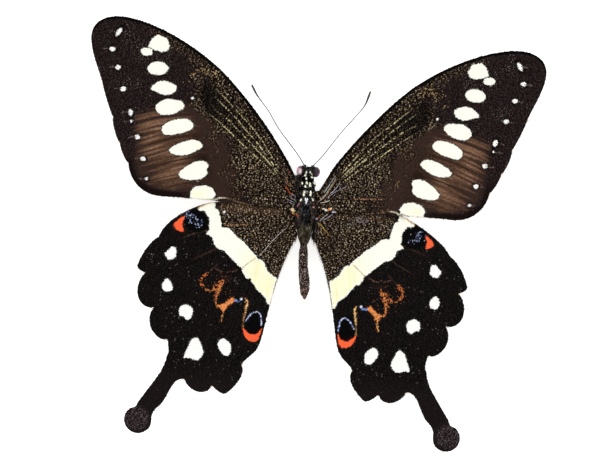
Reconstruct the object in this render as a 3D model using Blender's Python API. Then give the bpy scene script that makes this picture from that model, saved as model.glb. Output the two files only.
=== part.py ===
"""Emperor swallowtail butterfly, life size, wings spread flat as a set specimen, standing on its six legs.

The head points to +Y and the feet stand on Z = 0. Wing outlines and veins are drawn in millimetres in a
wing plan: x outward from the body's middle, y forward. One plan serves both sides. Each side then has its
own small turn and size, because the specimen isn't quite symmetric.
"""

import math

import bpy
import bmesh
from mathutils import Vector
from mathutils.geometry import delaunay_2d_cdt, interpolate_bezier

MM = 0.001
GAP = 0.3  # mm kept between touching pieces

# Heights and wing build, in millimetres
WING_ROOT_HEIGHT = 10.4
WING_THICKNESS = 0.5
WING_STACK = 1.15  # how far the hindwing lies under the forewing
WING_RISE = 0.05  # rise per mm outward
WING_ARCH = 0.8  # bow of the wing from root to tip
WING_SPAN = 52.0
TAIL_SAG = 0.0009  # drop per square mm behind the hindwing's root
SAG_START = -3.0

VEIN_HEIGHT = (0.15, 0.10)  # at the root and at the margin, on each face
VEIN_HALF_WIDTH = (0.45, 0.30)
VEIN_STEP = 3.2
MARGIN_STEP = 1.3
MERGE = 0.04

LEFT, RIGHT = -1, 1
SIDES = {"left": LEFT, "right": RIGHT}

# Each side's turn (degrees, forward is positive), size and shift outward, forewing and hindwing
FOREWING_POSE = {LEFT: (0.15, 1.007, 0.0), RIGHT: (-0.3, 0.995, 0.0)}
HINDWING_POSE = {LEFT: (-0.5, 1.0, 0.1), RIGHT: (0.7, 0.988, 0.3)}
FOREWING_HINGE = (3.0, 1.0)
HINDWING_HINGE = (3.0, -3.0)
FOREWING_FRONT = {LEFT: (2.9, 5.5), RIGHT: (2.1, 4.0)}  # where the leading edge starts on each side
LEADING_EDGE_RUN = (4.3, 8.1)  # the way it sets out
HINDWING_BOW = {LEFT: 0.9, RIGHT: 0.0}  # how much more the left hindwing's front edge bulges

# A tooth of the margin leaves its notch gently and comes back round to the next one
TOOTH_RISE = 0.18
TOOTH_FALL = 0.552

# Forewing plan: corners and handles of its smooth stretches
COSTA_MIDDLE = (22.0, 29.0)
COSTA_PEAK = (46.0, 39.5)
APEX = (52.3, 35.0)
FORE_MARGIN_START = (48.9, 24.0)
FORE_NOTCHES = ((45.9, 16.6), (43.9, 10.9), (41.6, 6.4))
FORE_TEETH = ((47.6, 20.2), (45.4, 13.7), (43.1, 8.5))
TORNUS = (33.5, -0.6)

# Hindwing plan: the notches between the veins and the rounded teeth at the vein ends
HIND_SHOULDER = (20.5, -0.6)
HIND_NOTCHES = ((33.6, -9.7), (36.0, -18.1), (33.5, -25.9), (30.0, -33.0))
HIND_TEETH = ((38.0, -16.5), (37.4, -23.5), (34.0, -30.4))
TAIL_HEEL = (25.4, -41.9)  # where the tail's inner edge meets the wing
INNER_NOTCHES = ((19.1, -42.9), (12.6, -37.6))
INNER_TEETH = ((22.2, -44.6), (15.8, -44.6))
ANAL_CORNER = (8.6, -32.0)

# Tail: a stem that narrows to a round knob
TAIL_OUTER_CUT = (29.5, -36.4)
TAIL_INNER_CUT = (27.0, -42.3)
TAIL_STEM_OUTER = (36.3, -49.0)
TAIL_STEM_INNER = (30.8, -48.4)
TAIL_KNOB = (35.5, -51.95)
TAIL_KNOB_RADIUS = 3.15
TAIL_KNOB_ARC = (55, -170)

FOREWING_VEINS = {
    "subcosta": ((3.2, 2.7), (12.0, 16.0), (22.0, 27.0), (36.4, 36.9)),
    "radius": ((3.2, 1.9), (10.0, 11.3), (20.0, 22.0), (31.0, 29.8)),
    "radial_1": ((20.0, 22.0), (30.0, 31.4), (40.5, 38.2)),
    "radial_2": ((25.6, 26.2), (36.0, 34.0), (44.0, 38.9)),
    "radial_3": ((31.0, 29.8), (39.0, 34.8), (48.0, 38.3)),
    "radial_4": ((31.0, 29.8), (37.0, 32.5), (45.0, 34.8), (51.4, 35.6)),
    "radial_5": ((35.5, 31.8), (43.0, 30.7), (50.8, 30.0)),
    "medial_1": ((31.4, 27.8), (40.0, 26.2), (49.1, 25.7)),
    "medial_2": ((30.0, 23.3), (38.0, 21.6), (47.2, 20.2)),
    "medial_3": ((27.5, 18.7), (36.0, 17.1), (44.9, 13.9)),
    "cubital_1": ((22.5, 14.2), (31.0, 13.1), (42.5, 8.8)),
    "cubital_2": ((15.0, 9.8), (27.6, 8.6), (40.4, 4.3)),
    "cubitus": ((3.2, 1.1), (9.0, 5.8), (15.0, 9.8), (22.5, 14.2), (27.5, 18.7)),
    "discal": ((27.5, 18.7), (30.0, 23.3), (31.4, 27.8), (31.0, 29.8)),
    "anal": ((3.2, 0.2), (12.0, 2.3), (25.0, 3.2), (36.4, 0.4)),
}

HINDWING_VEINS = {
    "subcosta": ((3.4, -1.4), (12.0, 0.0), (22.0, -2.4), (32.8, -8.6)),
    "radius": ((3.2, -2.6), (8.0, -4.0), (13.5, -5.3), (20.3, -11.5)),
    "radial": ((13.5, -5.3), (20.5, -6.6), (30.0, -10.4), (37.1, -15.9)),
    "medial_1": ((20.3, -11.5), (30.6, -17.3), (36.6, -22.6)),
    "medial_2": ((19.6, -15.0), (28.4, -23.7), (33.4, -29.4)),
    "medial_3": ((17.8, -17.2), (21.2, -23.5), (25.0, -31.0), (28.25, -39.35), (29.0, -41.0)),
    "cubital_1": ((14.3, -15.7), (17.3, -25.0), (19.8, -34.0), (22.1, -43.9)),
    "cubital_2": ((10.3, -12.6), (12.8, -21.0), (13.5, -30.0), (15.6, -43.8)),
    "cubitus": ((3.2, -3.8), (10.3, -12.6), (14.3, -15.7), (17.8, -17.2)),
    "discal": ((17.8, -17.2), (19.6, -15.0), (20.3, -11.5)),
    "anal": ((3.0, -5.6), (5.9, -13.0), (8.2, -22.0), (9.2, -29.0), (10.6, -34.8)),
}

TAIL_VEINS = {"medial_3": ((27.8, -38.2), (28.25, -39.35), (31.4, -45.0), (35.0, -51.8))}

# Body stations along y: middle x, middle height, half width, half height, all in millimetres
COLLAR_STATIONS = (
    (5.85, -0.48, 9.4, 1.6, 1.35),
    (5.4, -0.48, 9.3, 2.0, 1.7),
    (4.9, -0.48, 9.2, 2.15, 1.9),
    (4.4, -0.48, 9.1, 2.05, 1.9),
)
THORAX_STATIONS = (
    (4.1, -0.48, 9.0, 1.95, 1.8),
    (3.4, -0.48, 8.95, 2.25, 2.3),
    (2.0, -0.46, 8.85, 2.45, 2.85),
    (0.0, -0.42, 8.75, 2.6, 3.1),
    (-2.0, -0.38, 8.7, 2.45, 3.0),
    (-4.0, -0.34, 8.75, 2.1, 2.6),
    (-6.0, -0.3, 8.9, 1.65, 2.0),
    (-7.6, -0.26, 9.05, 1.2, 1.45),
    (-8.6, -0.22, 9.15, 0.85, 1.05),
    (-8.9, -0.2, 9.2, 0.7, 0.85),
)
ABDOMEN_STATIONS = (
    (-9.2, -0.2, 9.2, 0.72, 0.85),
    (-11.0, -0.16, 9.1, 0.95, 1.2),
    (-14.0, 0.02, 8.85, 1.06, 1.35),
    (-17.0, 0.52, 8.5, 1.26, 1.4),
    (-19.0, 0.76, 8.25, 1.16, 1.15),
    (-20.4, 0.8, 8.08, 0.9, 0.85),
    (-21.3, 0.9, 7.98, 0.36, 0.4),
    (-21.7, 0.92, 7.95, 0.12, 0.14),
)
ABDOMEN_SEGMENTS = 8
SEGMENT_GROOVE = 0.08  # share of the radius lost between two segments
BODY_SIDES = 18

HEAD_MIDDLE = (-0.5, 7.45, 9.55)
HEAD_RADII = (1.75, 1.5, 1.5)
HEAD_BACK = 6.1
EYE_OFFSET = (1.75, 0.35, 0.1)
EYE_RADII = (0.98, 1.2, 1.25)

# Antennae, in plan: outward and forward from the root on the head, with the rise of the tip
ANTENNA_ROOT_DIRECTION = (0.38, 0.68, 0.63)
SCAPE_LENGTH = 0.5
ANTENNA_ROUTES = {
    LEFT: ((3.5, 11.8), (8.0, 17.0), (10.7, 20.9), (13.5, 24.2), (15.0, 26.6)),
    RIGHT: ((2.8, 12.0), (6.3, 17.2), (9.6, 21.5), (11.3, 24.0), (12.3, 27.2)),
}
ANTENNA_TIP_RISE = 3.4
ANTENNA_RADII = (0.3, 0.25, 0.25, 0.25, 0.28, 0.42, 0.25)

PALP_DIRECTION = (0.34, 0.5, -0.8)
PALP_LENGTH = 1.5
PALP_RADII = (0.36, 0.44, 0.38, 0.24)

# The coiled tongue: its root under the head, and a spiral in the plane of the body's middle
TONGUE_ROOT_DIRECTION = (0.0, -0.3, -1.0)
TONGUE_MIDDLE = (-0.5, 7.2, 5.7)
TONGUE_START_ANGLE = 72.0
TONGUE_TURNS = 1.9
TONGUE_OUTER = 1.7
TONGUE_PITCH = 0.72
TONGUE_RADII = (0.27, 0.25, 0.22)
TONGUE_STEPS = 14  # points on each turn

# Legs: thorax station y, heading forward of straight out (degrees), femur, tibia and tarsus lengths
LEGS = {
    "front": (2.7, 38.0, 6.4, 7.6, 6.4),
    "middle": (0.2, -6.0, 7.2, 8.2, 7.4),
    "hind": (-2.4, -48.0, 7.4, 8.4, 7.8),
}
LEG_ROOT_ANGLE = 32.0  # round the thorax from straight down
COXA_LENGTH = 1.5
FEMUR_RISE = 20.0
TARSUS_FLEX = 0.35  # height of the tarsus's first joint above its foot
LEG_RADII = {"coxa": 0.62, "hip": 0.42, "thigh": 0.46, "knee": 0.34, "ankle": 0.28, "foot": 0.26, "toe": 0.24}
LEG_SIDES = 8

COLOURS = {
    "wing": ((0.020, 0.015, 0.012), 0.55),
    "body": ((0.014, 0.012, 0.010), 0.6),
    "eye": ((0.050, 0.028, 0.030), 0.2),
    "horn": ((0.012, 0.010, 0.010), 0.45),
}


def clear_scene():
    for obj in list(bpy.data.objects):
        bpy.data.objects.remove(obj, do_unlink=True)


def make_material(name):
    colour, roughness = COLOURS[name]
    material = bpy.data.materials.new(name)
    material.use_nodes = True
    shader = material.node_tree.nodes["Principled BSDF"]
    shader.inputs["Base Color"].default_value = (*colour, 1.0)
    shader.inputs["Roughness"].default_value = roughness
    shader.inputs["Metallic"].default_value = 0.0
    return material


def add_object(name, mesh, material):
    """One sub-part: it joins the butterfly's collection and follows the butterfly's empty."""
    obj = bpy.data.objects.new(name, mesh)
    mesh.materials.clear()
    mesh.materials.append(MATERIALS[material])
    PARTS.objects.link(obj)
    obj.parent = BUTTERFLY
    mesh.shade_smooth()
    return obj


def smooth_line(points, step):
    """A Catmull-Rom line through the points, cut into lengths of about step."""
    points = [Vector(p) for p in points]
    padded = [2 * points[0] - points[1], *points, 2 * points[-1] - points[-2]]
    line = [points[0]]
    for a, b, c, d in zip(padded, padded[1:], padded[2:], padded[3:]):
        cuts = max(1, round((c - b).length / step))
        for i in range(1, cuts + 1):
            t = i / cuts
            line.append(
                0.5 * (2 * b + (c - a) * t + (2 * a - 5 * b + 4 * c - d) * t**2
                       + (3 * b - a - 3 * c + d) * t**3)
            )
    return line


def bezier(start, handle_a, handle_b, end):
    """Points along one Bezier stretch of an outline, without its last point."""
    corners = [Vector(p) for p in (start, handle_a, handle_b, end)]
    cuts = max(3, round((corners[3] - corners[0]).length / MARGIN_STEP))
    return [p.xy for p in interpolate_bezier(*[c.to_3d() for c in corners], cuts + 1)][:-1]


def tooth(start, tip, end):
    """A rounded tooth of the margin: two quarter arcs that meet at its tip, without its last point."""
    start, tip, end = Vector(start), Vector(tip), Vector(end)
    along = (end - start).normalized()
    run = (tip - start).dot(along) * along
    out = tip - start - run
    rest = end - start - run
    rise = bezier(start, start + out * TOOTH_RISE, tip - run * TOOTH_FALL, tip)
    fall = bezier(tip, tip + rest * TOOTH_FALL, end + out * TOOTH_FALL, end)
    return rise + fall


def teeth(notches, tips):
    """Teeth between neighbouring notches of the margin."""
    return [p for a, tip, b in zip(notches, tips, notches[1:]) for p in tooth(a, tip, b)]


def forewing_plan(front):
    """The forewing's outline in plan, from the front of its root round to the tornus and inner margin."""
    return [
        *bezier(front, Vector(front) + Vector(LEADING_EDGE_RUN), (15.6, 23.5), COSTA_MIDDLE),
        *bezier(COSTA_MIDDLE, (30.0, 35.5), (40.0, 39.5), COSTA_PEAK),
        *bezier(COSTA_PEAK, (49.6, 39.5), (52.2, 37.8), APEX),
        *bezier(APEX, (52.5, 31.5), (50.1, 27.4), FORE_MARGIN_START),
        *teeth((FORE_MARGIN_START, *FORE_NOTCHES), FORE_TEETH),
        *bezier(FORE_NOTCHES[-1], (41.1, 2.6), (38.1, -0.7), TORNUS),
        *bezier(TORNUS, (24.0, -0.2), (12.0, -1.1), (3.6, -1.5)),
    ]


def hindwing_plan(bow, root_rear):
    """The hindwing's outline in plan, from its root along the costa, the teeth and back up the inner margin."""
    return [
        *bezier((3.6, 0.0), (8.0, 3.0), (15.0, 2.6), HIND_SHOULDER),
        *bezier(HIND_SHOULDER, (24.8, -1.9 + bow), (31.6 + bow, -6.2 + bow), HIND_NOTCHES[0]),
        *teeth(HIND_NOTCHES, HIND_TEETH),
        *bezier(HIND_NOTCHES[-1], (29.6, -34.2), (29.4, -35.4), TAIL_OUTER_CUT),
        Vector(TAIL_OUTER_CUT),
        tail_cut_middle(),
        *bezier(TAIL_INNER_CUT, (26.4, -41.9), (25.9, -41.8), TAIL_HEEL),
        *teeth((TAIL_HEEL, *INNER_NOTCHES), INNER_TEETH),
        *bezier(INNER_NOTCHES[-1], (11.6, -35.8), (9.2, -35.0), ANAL_CORNER),
        *bezier(ANAL_CORNER, (7.2, -26.0), (6.6, -16.5), root_rear),
    ]


def tail_cut_middle():
    """Where the tail's vein crosses the cut between the hindwing and its tail."""
    return Vector(TAIL_OUTER_CUT).lerp(Vector(TAIL_INNER_CUT), 0.5)


def tail_plan():
    """The tail's outline in plan, starting a gap beyond the cut that parts it from the hindwing."""
    across = Vector(TAIL_INNER_CUT) - Vector(TAIL_OUTER_CUT)
    shift = Vector((-across.y, across.x)).normalized() * GAP
    outer, inner = Vector(TAIL_OUTER_CUT) + shift, Vector(TAIL_INNER_CUT) + shift
    knob = Vector(TAIL_KNOB)
    first, last = (math.radians(a) for a in TAIL_KNOB_ARC)
    arc = [
        knob + TAIL_KNOB_RADIUS * Vector((math.cos(a), math.sin(a)))
        for a in (first + (last - first) * i / 14 for i in range(15))
    ]
    return [
        *bezier(outer, (29.9, -40.6), (33.6, -43.8), TAIL_STEM_OUTER),
        Vector(TAIL_STEM_OUTER),
        *arc,
        *bezier(arc[-1], (32.7, -50.3), (31.8, -49.3), TAIL_STEM_INNER)[1:],
        *bezier(TAIL_STEM_INNER, (29.4, -47.2), (28.5, -43.4), inner),
        inner,
        tail_cut_middle() + shift,
    ]


def posed(points, hinge, pose):
    """Plan points turned about the wing's hinge, sized and shifted for one side of the specimen."""
    degrees, size, shift = pose
    turn = math.radians(degrees)
    hinge = Vector(hinge)
    moved = []
    for point in points:
        x, y = (Vector(point) - hinge) * size
        moved.append(hinge + Vector((shift + x * math.cos(turn) - y * math.sin(turn),
                                     x * math.sin(turn) + y * math.cos(turn))))
    return moved


def station_at(stations, y):
    """Middle x, middle height, half width and half height of a body at y, between its stations."""
    for ahead, behind in zip(stations, stations[1:]):
        if ahead[0] >= y >= behind[0]:
            t = (ahead[0] - y) / (ahead[0] - behind[0])
            return [a + (b - a) * t for a, b in zip(ahead[1:], behind[1:])]
    return list(stations[0][1:] if y > stations[0][0] else stations[-1][1:])


def thorax_side(side, y, height):
    """How far out in plan the thorax's side is, at y and a height, a gap beyond its surface."""
    middle, level, half_width, half_height = station_at(THORAX_STATIONS, y)
    reach = math.sqrt(max(0.0, 1 - ((height - level) / half_height) ** 2))
    return side * middle + half_width * reach + GAP


def wing_height(x, y, stack):
    """Height of a wing's middle surface over the floor. stack is how far this wing lies under the forewing."""
    bow = WING_ARCH * math.sin(math.pi * min(max(x, 0.0), WING_SPAN) / WING_SPAN)
    sag = TAIL_SAG * max(0.0, SAG_START - y) ** 2 if stack else 0.0
    return WING_ROOT_HEIGHT + WING_RISE * (x - 3.0) + bow - stack - sag


def vein_lift(point, veins):
    """Height of the vein ridges over the membrane at a plan point."""
    lift = 0.0
    for line in veins:
        for i, (a, b) in enumerate(zip(line, line[1:])):
            run = b - a
            t = min(1.0, max(0.0, (point - a).dot(run) / run.length_squared))
            share = (i + t) / (len(line) - 1)
            width = VEIN_HALF_WIDTH[0] + (VEIN_HALF_WIDTH[1] - VEIN_HALF_WIDTH[0]) * share
            height = VEIN_HEIGHT[0] + (VEIN_HEIGHT[1] - VEIN_HEIGHT[0]) * share
            distance = (a + run * t - point).length
            lift = max(lift, height * (1 - distance / width))
    return lift


def foot_line(line, side):
    """The line along one foot of a vein's ridge, short of its ends."""
    points = []
    for i in range(1, len(line) - 1):
        share = i / (len(line) - 1)
        width = VEIN_HALF_WIDTH[0] + (VEIN_HALF_WIDTH[1] - VEIN_HALF_WIDTH[0]) * share
        along = (line[i + 1] - line[i - 1]).normalized()
        points.append(line[i] + Vector((-along.y, along.x)) * width * side)
    return points


def inside(point, outline):
    """Whether a plan point lies inside a closed outline."""
    found = False
    for a, b in zip(outline, outline[1:] + outline[:1]):
        if (a.y > point.y) != (b.y > point.y):
            if point.x < a.x + (point.y - a.y) / (b.y - a.y) * (b.x - a.x):
                found = not found
    return found


def wing_triangles(outline, veins):
    """Triangles of a wing's plan that hold its outline, its vein crests and the feet of their ridges."""
    points = list(outline)
    edges = [(i, (i + 1) % len(outline)) for i in range(len(outline))]
    for line in veins:
        for row in (line, foot_line(line, 1), foot_line(line, -1)):
            kept = [p for p in row if inside(p, outline)]
            edges += [(len(points) + i, len(points) + i + 1) for i in range(len(kept) - 1)]
            points += kept
    found = delaunay_2d_cdt(points, edges, [], 0, MERGE)
    corners, faces = found[0], found[2]
    faces = [f for f in faces if inside(sum((corners[i] for i in f), Vector((0, 0))) / 3, outline)]
    return corners, faces


def make_wing(name, side, outline, veins, stack):
    """A wing as one closed body: the same triangles on both faces, with the veins raised on each."""
    lines = [smooth_line(points, VEIN_STEP) for points in veins]
    corners, faces = wing_triangles(outline, lines)
    used = sorted({i for face in faces for i in face})
    built = bmesh.new()
    upper, lower = {}, {}
    for i in used:
        point = corners[i]
        level = wing_height(point.x, point.y, stack)
        half = WING_THICKNESS / 2 + vein_lift(point, lines)
        upper[i] = built.verts.new(Vector((side * point.x, point.y, level + half)) * MM)
        lower[i] = built.verts.new(Vector((side * point.x, point.y, level - half)) * MM)
    ends = {}
    for a, b, c in faces:
        built.faces.new((upper[a], upper[b], upper[c]))
        built.faces.new((lower[c], lower[b], lower[a]))
        for edge in ((a, b), (b, c), (c, a)):
            ends[edge] = True
    for a, b in [edge for edge in ends if edge[::-1] not in ends]:
        built.faces.new((upper[b], upper[a], lower[a]))
        built.faces.new((upper[b], lower[a], lower[b]))
    bmesh.ops.recalc_face_normals(built, faces=built.faces)
    mesh = bpy.data.meshes.new(name)
    built.to_mesh(mesh)
    built.free()
    obj = add_object(name, mesh, "wing")
    mesh.set_sharp_from_angle(angle=math.radians(40))
    return obj


def make_forewing(name, side):
    hinge, pose = FOREWING_HINGE, FOREWING_POSE[side]
    root = [Vector((thorax_side(side, y, WING_ROOT_HEIGHT), y)) for y in (-1.2, 0.4, 1.8, 3.3)]
    outline = posed(forewing_plan(FOREWING_FRONT[side]), hinge, pose) + root
    veins = [posed(points, hinge, pose) for points in FOREWING_VEINS.values()]
    make_wing(name, side, outline, veins, 0.0)


def make_hindwing(name, side):
    hinge, pose = HINDWING_HINGE, HINDWING_POSE[side]
    height = WING_ROOT_HEIGHT - WING_STACK
    root = [Vector((thorax_side(side, y, height), y)) for y in (-7.2, -5.6, -4.0, -2.2, -0.6)]
    outline = posed(hindwing_plan(HINDWING_BOW[side], root[0]), hinge, pose) + root
    veins = [posed(points, hinge, pose) for points in HINDWING_VEINS.values()]
    make_wing(name, side, outline, veins, WING_STACK)


def make_tail(name, side):
    hinge, pose = HINDWING_HINGE, HINDWING_POSE[side]
    veins = [posed(points, hinge, pose) for points in TAIL_VEINS.values()]
    make_wing(name, side, posed(tail_plan(), hinge, pose), veins, WING_STACK)


def make_loft(name, stations, material):
    """A body of oval sections across y, closed by a flat end at each side."""
    built = bmesh.new()
    rings = []
    for y, middle, level, half_width, half_height in stations:
        turn = [2 * math.pi * i / BODY_SIDES for i in range(BODY_SIDES)]
        rings.append([
            built.verts.new(Vector((middle + half_width * math.sin(a), y,
                                    level + half_height * math.cos(a))) * MM)
            for a in turn
        ])
    for ring, following in zip(rings, rings[1:]):
        for i in range(BODY_SIDES):
            j = (i + 1) % BODY_SIDES
            built.faces.new((ring[i], ring[j], following[j], following[i]))
    built.faces.new(rings[0])
    built.faces.new(rings[-1])
    bmesh.ops.recalc_face_normals(built, faces=built.faces)
    mesh = bpy.data.meshes.new(name)
    built.to_mesh(mesh)
    built.free()
    obj = add_object(name, mesh, material)
    mesh.set_sharp_from_angle(angle=math.radians(60))
    return obj


def abdomen_rings():
    """The abdomen's stations with a shallow groove between each two of its segments."""
    front, back = ABDOMEN_STATIONS[0][0], ABDOMEN_STATIONS[-1][0]
    rings = []
    per_segment = 3
    count = ABDOMEN_SEGMENTS * per_segment
    for i in range(count + 1):
        y = front + (back - front) * i / count
        middle, level, half_width, half_height = station_at(ABDOMEN_STATIONS, y)
        inner = 0 < i < count
        waist = 1 - SEGMENT_GROOVE if inner and i % per_segment == 0 else 1.0
        rings.append((y, middle, level, half_width * waist, half_height * waist))
    return rings


def make_ball(name, middle, radii, segments, rings, material):
    """An oval ball as its own object."""
    built = bmesh.new()
    bmesh.ops.create_uvsphere(built, u_segments=segments, v_segments=rings, radius=1.0)
    for vert in built.verts:
        vert.co = Vector([m + r * c for m, r, c in zip(middle, radii, vert.co)]) * MM
    mesh = bpy.data.meshes.new(name)
    built.to_mesh(mesh)
    built.free()
    return add_object(name, mesh, material)


def eye_middle(side):
    return [h + o for h, o in zip(HEAD_MIDDLE, (side * EYE_OFFSET[0], EYE_OFFSET[1], EYE_OFFSET[2]))]


def make_head():
    """The head: an oval with a flat back and a socket for each eye."""
    head = make_ball("head", HEAD_MIDDLE, HEAD_RADII, 18, 14, "body")
    for vert in head.data.vertices:
        vert.co.y = max(vert.co.y, HEAD_BACK * MM)
    for word, side in SIDES.items():
        sizes = [radius + GAP for radius in EYE_RADII]
        socket = make_ball("socket_" + word, eye_middle(side), sizes, 16, 12, "eye")
        PARTS.objects.unlink(socket)
        CUTTERS.objects.link(socket)
        socket.hide_render = True
        socket.display_type = "WIRE"
        cut = head.modifiers.new("socket_" + word, "BOOLEAN")
        cut.operation = "DIFFERENCE"
        cut.solver = "EXACT"
        cut.object = socket


def head_root(direction, side):
    """A point a gap off the head's surface and the way out there."""
    aim = Vector((side * direction[0], direction[1], direction[2])).normalized()
    surface = Vector([m + r * a for m, r, a in zip(HEAD_MIDDLE, HEAD_RADII, aim)])
    out = Vector([a / r for r, a in zip(HEAD_RADII, aim)]).normalized()
    return surface + out * GAP, out


def make_tube(name, points, radii, sides, material):
    """A tapering tube along the points as a mesh, with flat ends and flats where it meets the floor."""
    curve = bpy.data.curves.new(name, "CURVE")
    curve.dimensions = "3D"
    curve.bevel_depth = MM
    curve.bevel_resolution = sides // 2 - 2
    curve.use_fill_caps = True
    spline = curve.splines.new("POLY")
    spline.points.add(len(points) - 1)
    for node, point, radius in zip(spline.points, points, radii):
        node.co = (*(Vector(point) * MM), 1.0)
        node.radius = radius
    guide = bpy.data.objects.new(name + "_guide", curve)
    PARTS.objects.link(guide)
    graph = bpy.context.evaluated_depsgraph_get()
    mesh = bpy.data.meshes.new_from_object(guide.evaluated_get(graph))
    bpy.data.objects.remove(guide, do_unlink=True)
    mesh.name = name
    built = bmesh.new()
    built.from_mesh(mesh)
    bmesh.ops.remove_doubles(built, verts=built.verts, dist=0.01 * MM)
    for vert in built.verts:
        vert.co.z = max(vert.co.z, 0.0)
    bmesh.ops.triangulate(built, faces=built.faces)
    bmesh.ops.recalc_face_normals(built, faces=built.faces)
    built.to_mesh(mesh)
    built.free()
    obj = add_object(name, mesh, material)
    mesh.set_sharp_from_angle(angle=math.radians(60))
    return obj


def spread_radii(radii, count):
    """Radii read off evenly along a row of given ones."""
    spread = []
    for i in range(count):
        place = i / (count - 1) * (len(radii) - 1)
        k = min(int(place), len(radii) - 2)
        spread.append(radii[k] + (radii[k + 1] - radii[k]) * (place - k))
    return spread


def make_antenna(name, side):
    """A thin shaft that ends in a slender bent club."""
    root, out = head_root(ANTENNA_ROOT_DIRECTION, side)
    first = root + out * SCAPE_LENGTH
    route = [first]
    for i, (x, y) in enumerate(ANTENNA_ROUTES[side], 1):
        rise = ANTENNA_TIP_RISE * i / len(ANTENNA_ROUTES[side])
        route.append(Vector((side * x, y, first.z + rise)))
    line = [root, *smooth_line(route, 2.0)]
    make_tube(name, line, spread_radii(ANTENNA_RADII, len(line)), LEG_SIDES, "horn")


def make_palp(name, side):
    """A short palp that turns up in front of the face."""
    root, out = head_root(PALP_DIRECTION, side)
    ahead = Vector((0.0, 1.0, 0.1))
    up = Vector((0.0, 0.35, 1.0))
    middle = root + (out * 0.2 + ahead * 0.25) * PALP_LENGTH
    tip = middle + (ahead * 0.15 + up * 0.5) * PALP_LENGTH
    line = smooth_line((root, middle, tip), PALP_LENGTH / 5)
    make_tube(name, line, spread_radii(PALP_RADII, len(line)), LEG_SIDES, "body")


def make_proboscis():
    """The coiled tongue under the head, wound in the plane of the body's middle."""
    root, _ = head_root(TONGUE_ROOT_DIRECTION, RIGHT)
    middle = Vector(TONGUE_MIDDLE)
    points = [root]
    for i in range(round(TONGUE_TURNS * TONGUE_STEPS) + 1):
        turns = i / TONGUE_STEPS
        reach = TONGUE_OUTER - TONGUE_PITCH * turns - TONGUE_RADII[0]
        angle = math.radians(TONGUE_START_ANGLE) - 2 * math.pi * turns
        points.append(middle + Vector((0.0, reach * math.cos(angle), reach * math.sin(angle))))
    make_tube("proboscis", points, spread_radii(TONGUE_RADII, len(points)), LEG_SIDES, "horn")


def leg_line(side, root_y, heading, femur, tibia, tarsus):
    """Joints of one leg from the thorax's underside to the toe, with a radius at each."""
    middle, level, half_width, half_height = station_at(THORAX_STATIONS, root_y)
    round_by = math.radians(LEG_ROOT_ANGLE)
    surface = Vector((middle + side * half_width * math.sin(round_by), root_y,
                      level - half_height * math.cos(round_by)))
    out = Vector((side * math.sin(round_by) / half_width, 0.0,
                  -math.cos(round_by) / half_height)).normalized()
    turn = math.radians(heading)
    ahead = Vector((side * math.cos(turn), math.sin(turn), 0.0))
    up = Vector((0.0, 0.0, 1.0))
    rise = math.radians(FEMUR_RISE)
    root = surface + out * GAP
    hip = root + out * COXA_LENGTH
    knee = hip + (ahead * math.cos(rise) + up * math.sin(rise)) * femur
    ankle_height = LEG_RADII["ankle"] + TARSUS_FLEX
    reach = math.sqrt(tibia**2 - (knee.z - ankle_height) ** 2)
    ankle = Vector((knee.x, knee.y, ankle_height)) + ahead * reach
    foot_height = LEG_RADII["foot"] * 0.75
    foot = Vector((ankle.x, ankle.y, foot_height)) + ahead * tarsus * 0.3
    toe = Vector((foot.x, foot.y, LEG_RADII["toe"] * 0.75)) + ahead * tarsus * 0.7
    thigh = hip.lerp(knee, 0.3)
    names = ("coxa", "hip", "thigh", "knee", "ankle", "foot", "toe")
    points = (root, hip, thigh, knee, ankle, foot, toe)
    return list(zip(points, (LEG_RADII[n] for n in names)))


def make_leg(name, side, leg):
    """One leg, its bends rounded by a short extra point on each side of a joint."""
    joints = leg_line(side, *LEGS[leg])
    points, radii = [joints[0][0]], [joints[0][1]]
    for (a, _), (b, radius), (c, _) in zip(joints, joints[1:], joints[2:]):
        ease = 0.9 * radius
        points += [b - (b - a).normalized() * ease, b + (c - b).normalized() * ease]
        radii += [radius, radius]
    points.append(joints[-1][0])
    radii.append(joints[-1][1])
    make_tube(name, points, radii, LEG_SIDES, "horn")


def stand_on_origin():
    """Moves the butterfly so that the middle of its plan is over the origin."""
    bpy.context.view_layer.update()
    corners = [obj.matrix_world @ Vector(c) for obj in PARTS.objects if obj.type == "MESH"
               for c in obj.bound_box]
    for axis in (0, 1):
        low = min(c[axis] for c in corners)
        high = max(c[axis] for c in corners)
        BUTTERFLY.location[axis] -= (low + high) / 2


def build():
    make_head()
    make_loft("collar", COLLAR_STATIONS, "body")
    make_loft("thorax", THORAX_STATIONS, "body")
    make_loft("abdomen", abdomen_rings(), "body")
    make_proboscis()
    for word, side in SIDES.items():
        make_ball("eye_" + word, eye_middle(side), EYE_RADII, 16, 12, "eye")
        make_antenna("antenna_" + word, side)
        make_palp("palp_" + word, side)
        make_forewing("forewing_" + word, side)
        make_hindwing("hindwing_" + word, side)
        make_tail("tail_" + word, side)
        for leg in LEGS:
            make_leg(f"leg_{leg}_{word}", side, leg)
    stand_on_origin()


clear_scene()
PARTS = bpy.data.collections.new("swallowtail")
CUTTERS = bpy.data.collections.new("cutters")
bpy.context.scene.collection.children.link(PARTS)
bpy.context.scene.collection.children.link(CUTTERS)
BUTTERFLY = bpy.data.objects.new("butterfly", None)
PARTS.objects.link(BUTTERFLY)
MATERIALS = {name: make_material(name) for name in COLOURS}
build()
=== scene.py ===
"""A life-size swallowtail butterfly with its wings spread: its scales, hair, eyes, feelers and legs."""

import math

import bmesh
import bpy
import numpy as np
from mathutils import Matrix, Vector
from mathutils.geometry import delaunay_2d_cdt


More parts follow.
